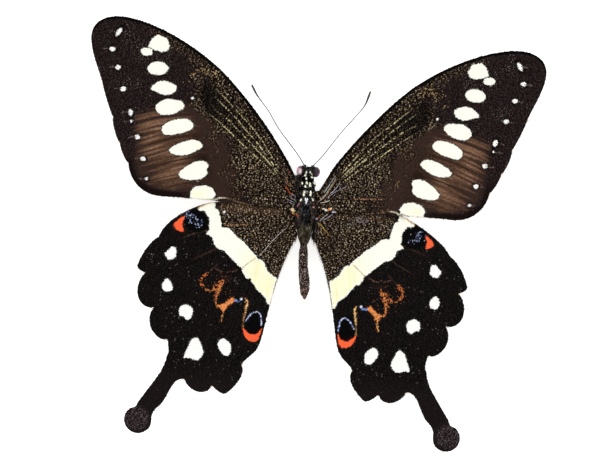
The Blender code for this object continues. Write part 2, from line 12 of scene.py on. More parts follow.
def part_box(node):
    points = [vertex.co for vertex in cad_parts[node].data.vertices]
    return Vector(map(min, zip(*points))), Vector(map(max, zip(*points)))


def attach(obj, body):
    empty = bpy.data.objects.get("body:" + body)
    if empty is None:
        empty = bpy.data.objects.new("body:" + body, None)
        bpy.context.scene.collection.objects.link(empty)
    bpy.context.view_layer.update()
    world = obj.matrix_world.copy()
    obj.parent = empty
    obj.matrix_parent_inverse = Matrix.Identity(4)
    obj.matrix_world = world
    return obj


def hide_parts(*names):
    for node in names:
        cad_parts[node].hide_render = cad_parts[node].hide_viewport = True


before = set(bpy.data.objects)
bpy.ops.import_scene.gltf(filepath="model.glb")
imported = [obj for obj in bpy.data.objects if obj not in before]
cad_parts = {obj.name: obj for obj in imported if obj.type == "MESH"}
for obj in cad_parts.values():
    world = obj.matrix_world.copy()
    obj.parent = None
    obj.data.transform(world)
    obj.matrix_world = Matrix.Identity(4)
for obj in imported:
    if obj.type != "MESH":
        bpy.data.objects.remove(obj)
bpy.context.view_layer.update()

# All lengths are in millimetres in the butterfly's plan: x to its right, y ahead, z up from the floor.
MM = 0.001
SIDES = {"left": -1, "right": 1}
THORAX_FRONT = 4.1
THORAX_MIDDLE = -0.42

# The photo's view
PHOTO_MM_PER_PIXEL = 0.23
PHOTO_PIXELS = (612, 465)
PHOTO_TURN = 4.5  # degrees that the butterfly is turned in the frame
PHOTO_CENTRE = (0.08, -6.25)  # the plan point in the middle of the frame
LENS = 250.0
SENSOR = 36.0
WING_LEVEL = 11.0

# Studio light
SKY_STRENGTH = 0.8
FLOOR_GLOW = 0.62
LAMPS = {"key": ((-0.5, 0.45, 0.8), 0.5, 4.0), "fill": ((0.7, -0.4, 0.6), 0.8, 1.4)}  # place, size, power

# Wings
GAP = 0.3
WING_ROOT_HEIGHT = 10.4
WING_STACK = 1.15
WING_RISE = 0.05
WING_ARCH = 0.8
WING_SPAN = 52.0
TAIL_SAG = 0.0009
SAG_START = -3.0
MEMBRANE_HALF = 0.09
VEIN_HEIGHT = (0.15, 0.08)
VEIN_HALF_WIDTH = (0.42, 0.22)
RIM_STEP = 0.5
SKIN_STEP = 0.7
ROOT_REACH = 1.0  # how far a wing's skin runs into the body
SCALE_GRAIN = 0.215
UNDER_GRAIN = 0.32
SPECK_BLOCK = (2, 3)  # rows and columns of scales that share one pale speck
VISIBLE_SHARE = 0.62  # the middle of the part of a scale that shows, as a share of its length

WINGS = {
    "forewing": {
        "nodes": ("forewing",),
        "hinge": (3.0, 1.0),
        "stack": 0.0,
        "pose": {"left": (0.15, 1.007, 0.0), "right": (-0.3, 0.995, 0.0)},
        "veins": {
            "subcosta": ((3.2, 2.7), (12, 16), (22, 27), (36.4, 36.9)),
            "radius": ((3.2, 1.9), (10, 11.3), (20, 22), (31, 29.8)),
            "radial_1": ((20, 22), (30, 31.4), (40.5, 38.2)),
            "radial_2": ((25.6, 26.2), (36, 34), (44, 38.9)),
            "radial_3": ((31, 29.8), (39, 34.8), (48, 38.3)),
            "radial_4": ((31, 29.8), (37, 32.5), (45, 34.8), (51.4, 35.6)),
            "radial_5": ((35.5, 31.8), (43, 30.7), (50.8, 30)),
            "medial_1": ((31.4, 27.8), (40, 26.2), (49.1, 25.7)),
            "medial_2": ((30, 23.3), (38, 21.6), (47.2, 20.2)),
            "medial_3": ((27.5, 18.7), (36, 17.1), (44.9, 13.9)),
            "cubital_1": ((22.5, 14.2), (31, 13.1), (42.5, 8.8)),
            "cubital_2": ((15, 9.8), (27.6, 8.6), (40.4, 4.3)),
            "cubitus": ((3.2, 1.1), (9, 5.8), (15, 9.8), (22.5, 14.2), (27.5, 18.7)),
            "discal": ((27.5, 18.7), (30, 23.3), (31.4, 27.8), (31, 29.8)),
            "anal": ((3.2, 0.2), (12, 2.3), (25, 3.2), (36.4, 0.4)),
        },
        "notches": ((48.9, 24.0), (45.9, 16.6), (43.9, 10.9), (41.6, 6.4)),
    },
    "hindwing": {
        "nodes": ("hindwing", "tail"),
        "hinge": (3.0, -3.0),
        "stack": WING_STACK,
        "pose": {"left": (-0.5, 1.0, 0.1), "right": (0.7, 0.988, 0.3)},
        "veins": {
            "subcosta": ((3.4, -1.4), (12, 0), (22, -2.4), (32.8, -8.6)),
            "radius": ((3.2, -2.6), (8, -4), (13.5, -5.3), (20.3, -11.5)),
            "radial": ((13.5, -5.3), (20.5, -6.6), (30, -10.4), (37.1, -15.9)),
            "medial_1": ((20.3, -11.5), (30.6, -17.3), (36.6, -22.6)),
            "medial_2": ((19.6, -15), (28.4, -23.7), (33.4, -29.4)),
            "medial_3": ((17.8, -17.2), (21.2, -23.5), (25, -31), (28.25, -39.35), (31.4, -45), (35, -51.8)),
            "cubital_1": ((14.3, -15.7), (17.3, -25), (19.8, -34), (22.1, -43.9)),
            "cubital_2": ((10.3, -12.6), (12.8, -21), (13.5, -30), (15.6, -43.8)),
            "cubitus": ((3.2, -3.8), (10.3, -12.6), (14.3, -15.7), (17.8, -17.2)),
            "discal": ((17.8, -17.2), (19.6, -15), (20.3, -11.5)),
            "anal": ((3, -5.6), (5.9, -13), (8.2, -22), (9.2, -29), (10.6, -34.8)),
        },
        "notches": ((33.6, -9.7), (36.0, -18.1), (33.5, -25.9), (30.0, -33.0), (25.4, -41.9), (19.1, -42.9),
                    (12.6, -37.6)),
    },
}

# Body stations: y, middle x, middle height, half width, half height of the solids
BODY_STATIONS = np.array((
    (5.85, -0.48, 9.4, 1.6, 1.35), (5.4, -0.48, 9.3, 2.0, 1.7), (4.9, -0.48, 9.2, 2.15, 1.9),
    (4.4, -0.48, 9.1, 2.05, 1.9), (4.1, -0.48, 9.0, 1.95, 1.8), (3.4, -0.48, 8.95, 2.25, 2.3),
    (2.0, -0.46, 8.85, 2.45, 2.85), (0.0, -0.42, 8.75, 2.6, 3.1), (-2.0, -0.38, 8.7, 2.45, 3.0),
    (-4.0, -0.34, 8.75, 2.1, 2.6), (-6.0, -0.3, 8.9, 1.65, 2.0), (-7.6, -0.26, 9.05, 1.2, 1.45),
    (-8.6, -0.22, 9.15, 0.85, 1.05), (-8.9, -0.2, 9.2, 0.7, 0.85), (-9.2, -0.2, 9.2, 0.72, 0.85),
    (-11.0, -0.16, 9.1, 0.95, 1.2), (-14.0, 0.02, 8.85, 1.06, 1.35), (-17.0, 0.52, 8.5, 1.26, 1.4),
    (-19.0, 0.76, 8.25, 1.16, 1.15), (-20.4, 0.8, 8.08, 0.9, 0.85), (-21.3, 0.9, 7.98, 0.36, 0.4),
    (-21.7, 0.92, 7.95, 0.12, 0.14),
))
ABDOMEN_FRONT = -9.2
ABDOMEN_BACK = -21.7
ABDOMEN_SEGMENTS = 8
BODY_SIDES = 40
BODY_VOXEL = 0.12
COAT_DEPTHS = ((-21.7, -14.0, -10.5, -8.9, -7.0, -5.0, -2.0), (0.12, 0.1, 0.0, 0.08, 0.0, 0.1, 0.3))  # by y
HEAD_COAT = 0.3
HEAD_MIDDLE = np.array((-0.5, 7.45, 9.55))
HEAD_RADII = np.array((1.75, 1.5, 1.5))
NECK_MIDDLE = np.array((-0.48, 6.05, 9.45))
NECK_RADII = np.array((1.5, 0.9, 1.35))
EYE_OFFSET = (1.75, 0.35, 0.1)
EYE_RADII = (0.98, 1.2, 1.25)

ANTENNA_ROOT_DIRECTION = (0.38, 0.68, 0.63)
SCAPE_LENGTH = 0.5
ANTENNA_ROUTES = {
    "left": ((3.5, 11.8), (8.0, 17.0), (10.7, 20.9), (13.5, 24.2), (15.0, 26.6)),
    "right": ((2.8, 12.0), (6.3, 17.2), (9.6, 21.5), (11.3, 24.0), (12.3, 27.2)),
}
ANTENNA_TIP_RISE = 3.4
PALP_DIRECTION = (0.34, 0.5, -0.8)
PALP_LENGTH = 1.5
TONGUE_ROOT_DIRECTION = (0.0, -0.3, -1.0)
TONGUE_MIDDLE = np.array((-0.5, 7.2, 5.7))
TONGUE_START_ANGLE = 72.0
TONGUE_TURNS = 1.9
TONGUE_OUTER = 1.7
TONGUE_PITCH = 0.72
TONGUE_RADIUS = 0.27

# Legs: root y, heading in degrees ahead of straight out, lengths of femur, tibia and tarsus
LEGS = {
    "front": (2.7, 38.0, 6.4, 7.6, 6.4),
    "middle": (0.2, -6.0, 7.2, 8.2, 7.4),
    "hind": (-2.4, -48.0, 7.4, 8.4, 7.8),
}
LEG_ROOT_ANGLE = 32.0
COXA_LENGTH = 1.5
FEMUR_RISE = 20.0
ANKLE_HEIGHT = 0.63

low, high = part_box("thorax")
ORIGIN = np.array(((low.x + high.x) / 2 - THORAX_MIDDLE * MM, high.y - THORAX_FRONT * MM, 0.0))


# Lines, outlines and distances

def smooth_line(points, step, closed=False):
    """A Catmull-Rom line through the points, cut into lengths of about step."""
    points = np.array(points, float)
    if closed:
        padded = np.vstack((points[-1:], points, points[:2]))
    else:
        padded = np.vstack((2 * points[0] - points[1], points, 2 * points[-1] - points[-2]))
    line = []
    for a, b, c, d in zip(padded, padded[1:], padded[2:], padded[3:]):
        cuts = max(1, round(float(np.linalg.norm(c - b)) / step))
        t = (np.arange(cuts) / cuts)[:, None]
        line.append(0.5 * (2 * b + (c - a) * t + (2 * a - 5 * b + 4 * c - d) * t**2
                           + (3 * b - a - 3 * c + d) * t**3))
    return np.vstack(line if closed else line + [points[-1:]])


def to_line(x, y, line):
    """How far each place is from a line, its share of the line's length there, and the line's heading."""
    starts, runs = line[:-1], np.diff(line, axis=0)
    squares = np.maximum((runs**2).sum(axis=1), 1e-12)
    ahead_x, ahead_y = x[:, None] - starts[:, 0], y[:, None] - starts[:, 1]
    t = np.clip((ahead_x * runs[:, 0] + ahead_y * runs[:, 1]) / squares, 0, 1)
    apart = (ahead_x - t * runs[:, 0]) ** 2 + (ahead_y - t * runs[:, 1]) ** 2
    nearest = apart.argmin(axis=1)
    rows = np.arange(len(x))
    heading = runs[nearest] / np.sqrt(squares[nearest])[:, None]
    return np.sqrt(apart[rows, nearest]), (nearest + t[rows, nearest]) / len(runs), heading


def depth_in(x, y, outline):
    """How deep each place lies inside a closed outline, below zero outside it."""
    ring = np.vstack((outline, outline[:1]))
    distance = to_line(x, y, ring)[0]
    inside = np.zeros(len(x), bool)
    for (ax, ay), (bx, by) in zip(ring, ring[1:]):
        if ay != by:
            inside ^= ((ay > y) != (by > y)) & (x < ax + (y - ay) / (by - ay) * (bx - ax))
    return np.where(inside, distance, -distance)


def step_up(value, start, end):
    """Rises smoothly from 0 at start to 1 at end."""
    t = np.clip((value - start) / (end - start), 0, 1)
    return t * t * (3 - 2 * t)


def patchy(x, y, size, seed):
    """Smooth random patches of about a size, from 0 to 1."""
    lattice = np.random.default_rng(seed).random((64, 64))
    u, v = x / size + 200.3, y / size + 200.7
    i, j = np.floor(u).astype(int), np.floor(v).astype(int)
    u, v = step_up(u - i, 0, 1), step_up(v - j, 0, 1)
    near = lattice[i % 64, j % 64] * (1 - u) + lattice[(i + 1) % 64, j % 64] * u
    far = lattice[i % 64, (j + 1) % 64] * (1 - u) + lattice[(i + 1) % 64, (j + 1) % 64] * u
    return near * (1 - v) + far * v


def columns(*coordinates):
    """Places from their separate coordinates."""
    return np.stack(coordinates, axis=-1)


def unit(vectors):
    return vectors / np.maximum(np.linalg.norm(vectors, axis=-1, keepdims=True), 1e-9)


# Where a wing lies

def posed(points, wing, side):
    """Plan points of a wing turned about its hinge, sized and shifted for one side."""
    degrees, size, shift = WINGS[wing]["pose"][side]
    c, s = math.cos(math.radians(degrees)), math.sin(math.radians(degrees))
    x, y = (np.array(points, float) - WINGS[wing]["hinge"]).T * size
    return WINGS[wing]["hinge"] + columns(shift + x * c - y * s, x * s + y * c)


def unposed(points, wing, side):
    degrees, size, shift = WINGS[wing]["pose"][side]
    c, s = math.cos(math.radians(degrees)), math.sin(math.radians(degrees))
    x, y = (np.array(points, float) - WINGS[wing]["hinge"]).T
    x = x - shift
    return WINGS[wing]["hinge"] + columns(x * c + y * s, y * c - x * s) / size


def marking_place(x, y, wing, side):
    """The left wing's place that matches one on this side, because markings are written for the left."""
    if side == "left":
        return x, y
    mark_x, mark_y = posed(unposed(columns(x, y), wing, side), wing, "left").T
    for (near_x, near_y), (shift_x, shift_y), reach in RIGHT_WING_SHIFTS[wing]:
        share = np.exp(-((x - near_x) ** 2 + (y - near_y) ** 2) / reach**2)
        mark_x, mark_y = mark_x - shift_x * share, mark_y - shift_y * share
    return mark_x, mark_y


def wing_height(x, y, stack):
    """Height of a wing's middle surface over the floor."""
    bow = WING_ARCH * np.sin(np.pi * np.clip(x, 0, WING_SPAN) / WING_SPAN)
    sag = TAIL_SAG * np.maximum(0.0, SAG_START - y) ** 2 if stack else 0.0
    return WING_ROOT_HEIGHT + WING_RISE * (x - 3.0) + bow - stack - sag


def vein_lines(wing, side):
    return {name: smooth_line(posed(points, wing, side), 1.0) for name,
            points in WINGS[wing]["veins"].items()}


def vein_lift(x, y, veins):
    """Height of the vein ridges over the membrane."""
    lift = np.zeros(len(x))
    for line in veins.values():
        distance, share, _ = to_line(x, y, line)
        width = VEIN_HALF_WIDTH[0] + (VEIN_HALF_WIDTH[1] - VEIN_HALF_WIDTH[0]) * share
        height = VEIN_HEIGHT[0] + (VEIN_HEIGHT[1] - VEIN_HEIGHT[0]) * share
        lift = np.maximum(lift, height * (1 - step_up(distance, 0.15 * width, width)))
    return lift


def grain(x, y, veins):
    """The way the scales point: outward, along the veins nearby."""
    total = np.zeros((len(x), 2))
    for name, line in veins.items():
        if name != "discal":
            distance, _, heading = to_line(x, y, line)
            total += heading / (distance[:, None] ** 2 + 0.5) ** 1.5
    return unit(total)


def node_rim(node, sign):
    """The outline in plan of a wing's solid, read from its upper faces, with x outward."""
    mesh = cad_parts[node].data
    places = (np.array([v.co for v in mesh.vertices]) - ORIGIN) / MM * (sign, 1, 1)
    keys = [tuple(p) for p in np.round(places[:, :2], 3).tolist()]
    loose = set()
    for face in mesh.polygons:
        if face.normal.z > 0.3:
            corners = [keys[i] for i in face.vertices]
            for a, b in zip(corners, corners[1:] + corners[:1]):
                if (b, a) in loose:
                    loose.remove((b, a))
                else:
                    loose.add((a, b))
    following = dict(loose)
    rim = [min(following)]
    while following[rim[-1]] != rim[0]:
        rim.append(following[rim[-1]])
    return np.array(rim if sign > 0 else rim[::-1])


def open_at(rim, other, reach):
    """A closed rim cut open where it faces another across a narrow gap."""
    faces = to_line(rim[:, 0], rim[:, 1], np.vstack((other, other[:1])))[0] < reach
    last = next(i for i in range(len(rim)) if faces[i] and not faces[(i + 1) % len(rim)])
    rim, faces = np.roll(rim, -last, axis=0), np.roll(faces, -last)
    return rim[:2 + int(faces[1:].argmax())]


def wing_rim(wing, side):
    """The whole wing's outline in plan, the tail joined to the hindwing, with its root run into the body."""
    rims = [node_rim(f"{node}_{side}", SIDES[side]) for node in WINGS[wing]["nodes"]]
    if len(rims) == 2:
        reach = GAP * 1.2
        rims = [np.vstack((open_at(rims[0], rims[1], reach), open_at(rims[1], rims[0], reach)))]
    rim = smooth_line(rims[0], RIM_STEP, closed=True)
    middle, half_width = station_columns(rim[:, 1])[0], station_columns(rim[:, 1])[2]
    at_body = rim[:, 0] < SIDES[side] * middle + half_width + 2.5 * GAP
    rim[:, 0] -= np.where(at_body & (rim[:, 1] < 5.0) & (rim[:, 1] > -5.4), ROOT_REACH, 0.0)
    if (wing, side) == ("forewing", "right"):
        rim[:, 1] -= 0.8 * step_up(-rim[:, 0], -6.0, -2.5) * step_up(rim[:, 1], 2.0, 3.6)
    return rim


def station_columns(y):
    """Middle x, middle height, half width and half height of the body at each y."""
    order = slice(None, None, -1)
    return [np.interp(y, BODY_STATIONS[order, 0], BODY_STATIONS[order, k]) for k in range(1, 5)]


# Colours, as screen tones from 0 to 255, painted over one another in order

LIGHT_LEVEL = 1.03  # how bright the studio light shows a white surface
GLOSS_LEVEL = 0.0036  # what the sheen of the scales adds to every tone
CREAM = (255, 255, 243)
YELLOW_CREAM = (255, 253, 212)
BLACK = (25, 18, 18)
DEEP_BLACK = (9, 5, 4)
WARM_BROWN = (100, 73, 57)
PALE_BROWN = (138, 106, 84)
DARK_BROWN = (56, 41, 34)
SPECK_GROUND = (17, 10, 6)
PALE_SPECK = (224, 202, 170)
GOLD_SPECK = (206, 176, 112)
STREAK = (232, 216, 168)
DEEP_ORANGE = (176, 92, 48)
LUNULE = (252, 106, 64)
BLUE = (150, 172, 240)
WHITE = (254, 253, 250)
EVEN_CHANCE = (0.6, 0.99, 0.5, 0.5)  # in place of random numbers where a surface has no specks


class Paint:
    """Tones of many places on a wing or body, with some random numbers for each place."""

    def __init__(self, x, y, chance, ground):
        self.x, self.y, self.chance = x, y, chance
        self.tones = np.tile(np.array(ground, float), (len(x), 1))
        self.wobble = (chance[:, 3] - 0.5) * 0.1

    def over(self, tone, cover):
        self.tones += (np.array(tone, float) - self.tones) * np.clip(cover, 0, 1)[:, None]

    def fill(self, tone, depth, blur=0.1):
        """Paints where the depth is above zero, with an edge as ragged as the scales are."""
        self.over(tone, step_up(depth + self.wobble, -blur, blur))

    def freckle(self, pale, cover, power=3.5):
        """Lightens each place towards a pale tone, a few places most."""
        self.over(pale, self.chance[:, 0] ** power * cover)

    def sprinkle(self, tone, density, strength=0.9):
        self.over(tone, (self.chance[:, 1] < density) * strength)

    def line(self, points, half_width):
        """Depth inside a thin line that fades towards its ends."""
        distance, share, _ = to_line(self.x, self.y, smooth_line(points, 0.5))
        return half_width * np.minimum(1, 8 * np.minimum(share, 1 - share) + 0.3) - distance

    def outline(self, points, smooth=True):
        points = smooth_line(points, 0.4, closed=True) if smooth else np.array(points, float)
        return depth_in(self.x, self.y, points)

    def oval(self, middle, radii, turn=0.0):
        """How deep each place lies inside an oval that is turned by some degrees."""
        c, s = math.cos(math.radians(turn)), math.sin(math.radians(turn))
        u = ((self.x - middle[0]) * c + (self.y - middle[1]) * s) / radii[0]
        v = ((self.y - middle[1]) * c - (self.x - middle[0]) * s) / radii[1]
        return (1 - np.sqrt(u**2 + v**2)) * min(radii)

    def linear(self):
        """The tones as linear colours with an alpha of one."""
        shown = np.clip(self.tones / 255, 0, 1)
        linear = np.where(shown < 0.04045, shown / 12.92, ((shown + 0.055) / 1.055) ** 2.4)
        linear = np.maximum(linear - GLOSS_LEVEL, 0.0006) / LIGHT_LEVEL
        return np.hstack((linear, np.ones((len(linear), 1))))


def paint_on(roots, rng, ground):
    """Paint at the plan places of some roots."""
    return Paint(roots[:, 0], roots[:, 1], rng.random((len(roots), 4)), ground)


# Where a right wing's marks lie beside the left's: around a place, by how much, how far
RIGHT_WING_SHIFTS = {
    "forewing": (((35.0, 24.0), (-0.2, 0.0), 10.0), ((26.5, 6.0), (0.35, -0.15), 4.0)),
    "hindwing": (((10.4, -28.5), (0.1, -0.42), 6.0), ((26.0, -6.0), (-0.25, -0.55), 7.0),
                 ((30.0, -20.0), (-0.15, 0.0), 8.0), ((20.0, -35.0), (0.0, -0.12), 8.0)),
}
FOREWING_SPOTS = (
    ((34.4, 33.9), (35.2, 35.7), (37.4, 36.4), (38.6, 35.4), (39.4, 33.4), (37.8, 32.8), (36.2, 32.4),
     (34.9, 32.9)),
    ((38.2, 32.1), (38.7, 33.0), (40.2, 33.1), (41.0, 32.4), (40.4, 31.5), (38.8, 31.5)),
    ((34.3, 28.8), (35.2, 29.9), (36.7, 30.2), (38.4, 29.7), (39.1, 28.5), (38.4, 27.4), (36.8, 27.1),
     (35.2, 27.5)),
    ((32.1, 24.6), (33.2, 25.5), (35.0, 25.9), (36.7, 25.4), (38.1, 23.9), (36.7, 23.3), (34.9, 22.7),
     (33.0, 23.1)),
    ((30.1, 20.2), (30.7, 21.5), (32.6, 21.8), (34.6, 21.7), (36.2, 20.6), (36.6, 19.5), (35.6, 18.3),
     (34.0, 18.1),
     (32.0, 18.7)),
    ((27.6, 16.2), (28.3, 17.2), (29.6, 17.6), (32.3, 17.1), (34.3, 15.9), (34.8, 14.8), (34.0, 13.6),
     (31.8, 13.8),
     (29.4, 14.6), (28.0, 15.4)),
    ((25.1, 11.6), (26.0, 12.7), (27.6, 12.9), (30.3, 12.0), (32.2, 10.8), (32.7, 9.9), (31.0, 9.2),
     (28.6, 9.4),
     (26.6, 10.4)),
    ((23.4, 7.2), (24.3, 8.2), (26.4, 8.0), (28.6, 6.6), (30.0, 5.2), (29.7, 4.2), (28.3, 3.7), (25.8, 3.9),
     (24.2, 4.6), (23.5, 5.6), (23.8, 6.3)),
    ((21.3, 1.0), (22.2, 2.3), (24.0, 2.8), (26.0, 2.3), (27.1, 1.2), (27.0, -0.4), (24.0, -0.6),
     (21.5, 0.0)),
)
FOREWING_DOTS = (  # middle, radii, turn
    ((46.3, 36.3), (1.1, 0.48), -58), ((47.5, 32.3), (0.65, 0.5), 0), ((45.9, 28.2), (0.6, 0.55), 0),
    ((44.3, 23.3), (0.6, 0.55), 0), ((42.2, 18.1), (0.52, 0.8), -15), ((41.9, 16.1), (0.25, 0.3), 0),
    ((40.2, 12.6), (0.62, 0.52), 0), ((38.5, 7.7), (0.6, 0.5), 0), ((37.4, 3.2), (0.4, 0.35), 0),
    ((28.3, 22.5), (0.32, 0.28), 0),
)
CELL_STREAKS = (
    ((6.5, 6.9), (10.1, 11.9), (14.0, 16.6), (17.6, 20.0), (20.7, 22.9), (22.9, 24.9)),
    ((6.7, 6.3), (9.7, 9.9), (13.2, 13.9), (15.5, 16.1), (18.2, 18.9), (21.6, 21.8), (23.4, 23.2)),
    ((6.9, 5.9), (10.2, 9.6), (13.3, 12.4), (15.8, 14.7), (18.1, 16.7), (20.4, 18.6), (23.6, 20.6)),
    ((7.0, 5.3), (10.0, 8.1), (12.0, 9.7), (14.7, 11.7), (18.9, 15.2), (21.4, 17.2), (23.8, 18.9)),
)
CELL = ((6.0, 6.2), (10.5, 12.6), (15.5, 18.6), (21.0, 24.0), (25.5, 26.5), (27.0, 23.0), (25.0, 18.6),
        (21.0, 15.6), (15.5, 11.2), (9.0, 6.0))
BROWN_FIELD = ((40.7, 17.2), (37.6, 18.3), (33.7, 18.8), (29.2, 18.4), (26.0, 16.4), (24.2, 13.0),
               (22.3, 9.2), (21.6, 5.2), (22.5, 2.6), (29.0, 1.9), (30.2, 0.6), (33.4, 0.7), (35.9, 1.7),
               (38.0, 4.0), (39.7, 5.9), (39.9, 8.1), (40.1, 10.7), (40.2, 12.3), (40.4, 14.3))
DARK_FIELD = ((15.5, 0.5), (17.5, 8.0), (23.0, 19.5), (29.0, 21.5), (33.0, 20.0), (40.0, 17.0), (40.0, 6.0),
              (36.0, 1.5), (24.0, 0.2))

HINDWING_BAND = (
    (21.5, -0.9), (20.2, -3.0), (19.3, -6.0), (17.5, -6.7), (16.2, -8.0), (14.0, -9.6), (11.2, -12.2),
    (9.0, -13.8),
    (8.0, -15.8), (6.4, -17.0), (5.8, -17.2), (6.9, -23.5), (7.5, -23.3), (8.1, -21.9), (10.0, -20.4),
    (11.2, -18.8),
    (13.0, -17.6), (14.2, -15.7), (16.0, -14.0), (18.4, -11.9), (20.0, -11.5), (20.8, -10.5), (21.3, -9.0),
    (22.8, -8.3), (22.3, -6.5), (22.2, -5.0), (23.0, -3.8), (25.0, -3.0), (25.0, -2.3), (23.0, -1.3),
)
HINDWING_SPOTS = (
    ((29.6, -12.0), (30.5, -11.9), (31.1, -12.7), (31.9, -13.5), (31.5, -14.3), (31.1, -14.9), (30.2, -14.8),
     (29.3, -14.1), (29.3, -12.8)),
    ((30.8, -19.3), (31.6, -19.9), (31.9, -21.2), (31.3, -22.2), (30.3, -22.2), (29.5, -21.6),
     (29.8, -20.3)),
    ((24.5, -27.2), (24.6, -25.7), (26.1, -24.9), (27.3, -25.4), (27.6, -26.3), (27.4, -27.6), (26.6, -27.6),
     (25.8, -28.4), (24.9, -28.0)),
    ((22.6, -32.6), (23.3, -32.3), (24.3, -33.0), (24.9, -34.6), (25.6, -36.5), (25.6, -37.2), (24.4, -37.1),
     (23.2, -37.5), (22.2, -37.2), (21.3, -35.8), (21.6, -34.6)),
    ((15.1, -34.3), (15.4, -33.0), (16.9, -32.0), (17.9, -32.6), (18.1, -33.8), (17.1, -35.4), (16.1, -36.0),
     (15.2, -35.5)),
)
HINDWING_BASE = ((2.0, -24.0), (2.0, 4.0), (21.0, 2.0), (20.0, -3.0), (19.0, -6.0), (14.0, -9.6),
                 (8.0, -15.8), (6.2, -17.5))
COSTAL_LUNULE = ((27.9, -4.6), (28.9, -5.2), (29.8, -6.0), (30.4, -6.8), (29.6, -7.9), (28.1, -8.2),
                 (28.2, -7.3), (28.4, -6.4), (28.2, -5.6))
ANAL_CRESCENT = ((12.7, -29.2), (12.3, -30.8), (11.5, -31.8), (10.3, -32.3), (9.4, -32.1), (8.8, -31.2),
                 (8.4, -29.6), (8.5, -29), (9, -29.9), (9.7, -30.5), (10.7, -30.6), (11.7, -30.1))
BLUE_ARC = ((12.3, -27.9), (11.7, -26.8), (10.8, -25.7), (9.7, -25.3), (8.9, -25.9), (8.6, -27.3),
            (8.5, -28.6))
ZIGZAG = (  # orange lines, or outlines where no half width is given: points, half width, tone, density
    (((21.7, -17.2), (22.9, -18.4), (23.1, -19.6), (22.3, -20.8)), 0.34, (226, 128, 68), 0.42),
    (((22.1, -21), (20.9, -21.3), (19.5, -20.8)), 0.24, (236, 150, 84), 0.5),
    (((20.9, -21.1), (19.8, -20.2), (18.5, -18.8)), 0.22, (226, 130, 70), 0.5),
    (((17.9, -18.3), (17.9, -19.5), (18.6, -21.1), (19.1, -22.3), (19.2, -23.9), (18.6, -24.9),
      (19.1, -24.9), (19.6, -23.5), (19.7, -21.4), (18.9, -19.6)), 0, (244, 148, 84), 0.6),
    (((18.7, -24.6), (17.5, -25.9), (16.5, -24.4), (14.9, -23.1), (15.7, -22.4), (17.2, -23.9)), 0,
     (255, 160, 92), 0.95),
    (((17.5, -25.9), (17.7, -27.1), (17.9, -28.3)), 0.14, (236, 170, 104), 0.5),
    (((12.7, -22.5), (12.1, -23.3), (12.3, -24.6), (12.5, -26.2), (12.6, -28.1), (12.6, -29.4)), 0.17,
     (255, 208, 138), 0.95),
)


def thin(paint, tone, points, half_width=0.1, density=1.0):
    """A thin line of single scales, broken where its density is under one."""
    depth = paint.line(points, half_width)
    paint.over(tone, step_up(depth, -0.1, 0.04) * (paint.chance[:, 1] < density)
               * (0.6 + 0.4 * paint.chance[:, 2]))


def beside_veins(x, y, wing, names):
    """How far each place is from the nearest of some veins, and a pattern of streaks that run along them."""
    nearest = np.full(len(x), 99.0)
    streaks = np.zeros(len(x))
    for index, name in enumerate(names):
        line = smooth_line(posed(WINGS[wing]["veins"][name], wing, "left"), 1.0)
        distance, share, _ = to_line(x, y, line)
        closer = distance < nearest
        nearest = np.where(closer, distance, nearest)
        pattern = patchy(distance / 0.3 + 9.0 * index, share * len(line) / 7.0, 1.0, 12)
        streaks = np.where(closer, pattern, streaks)
    return nearest, streaks


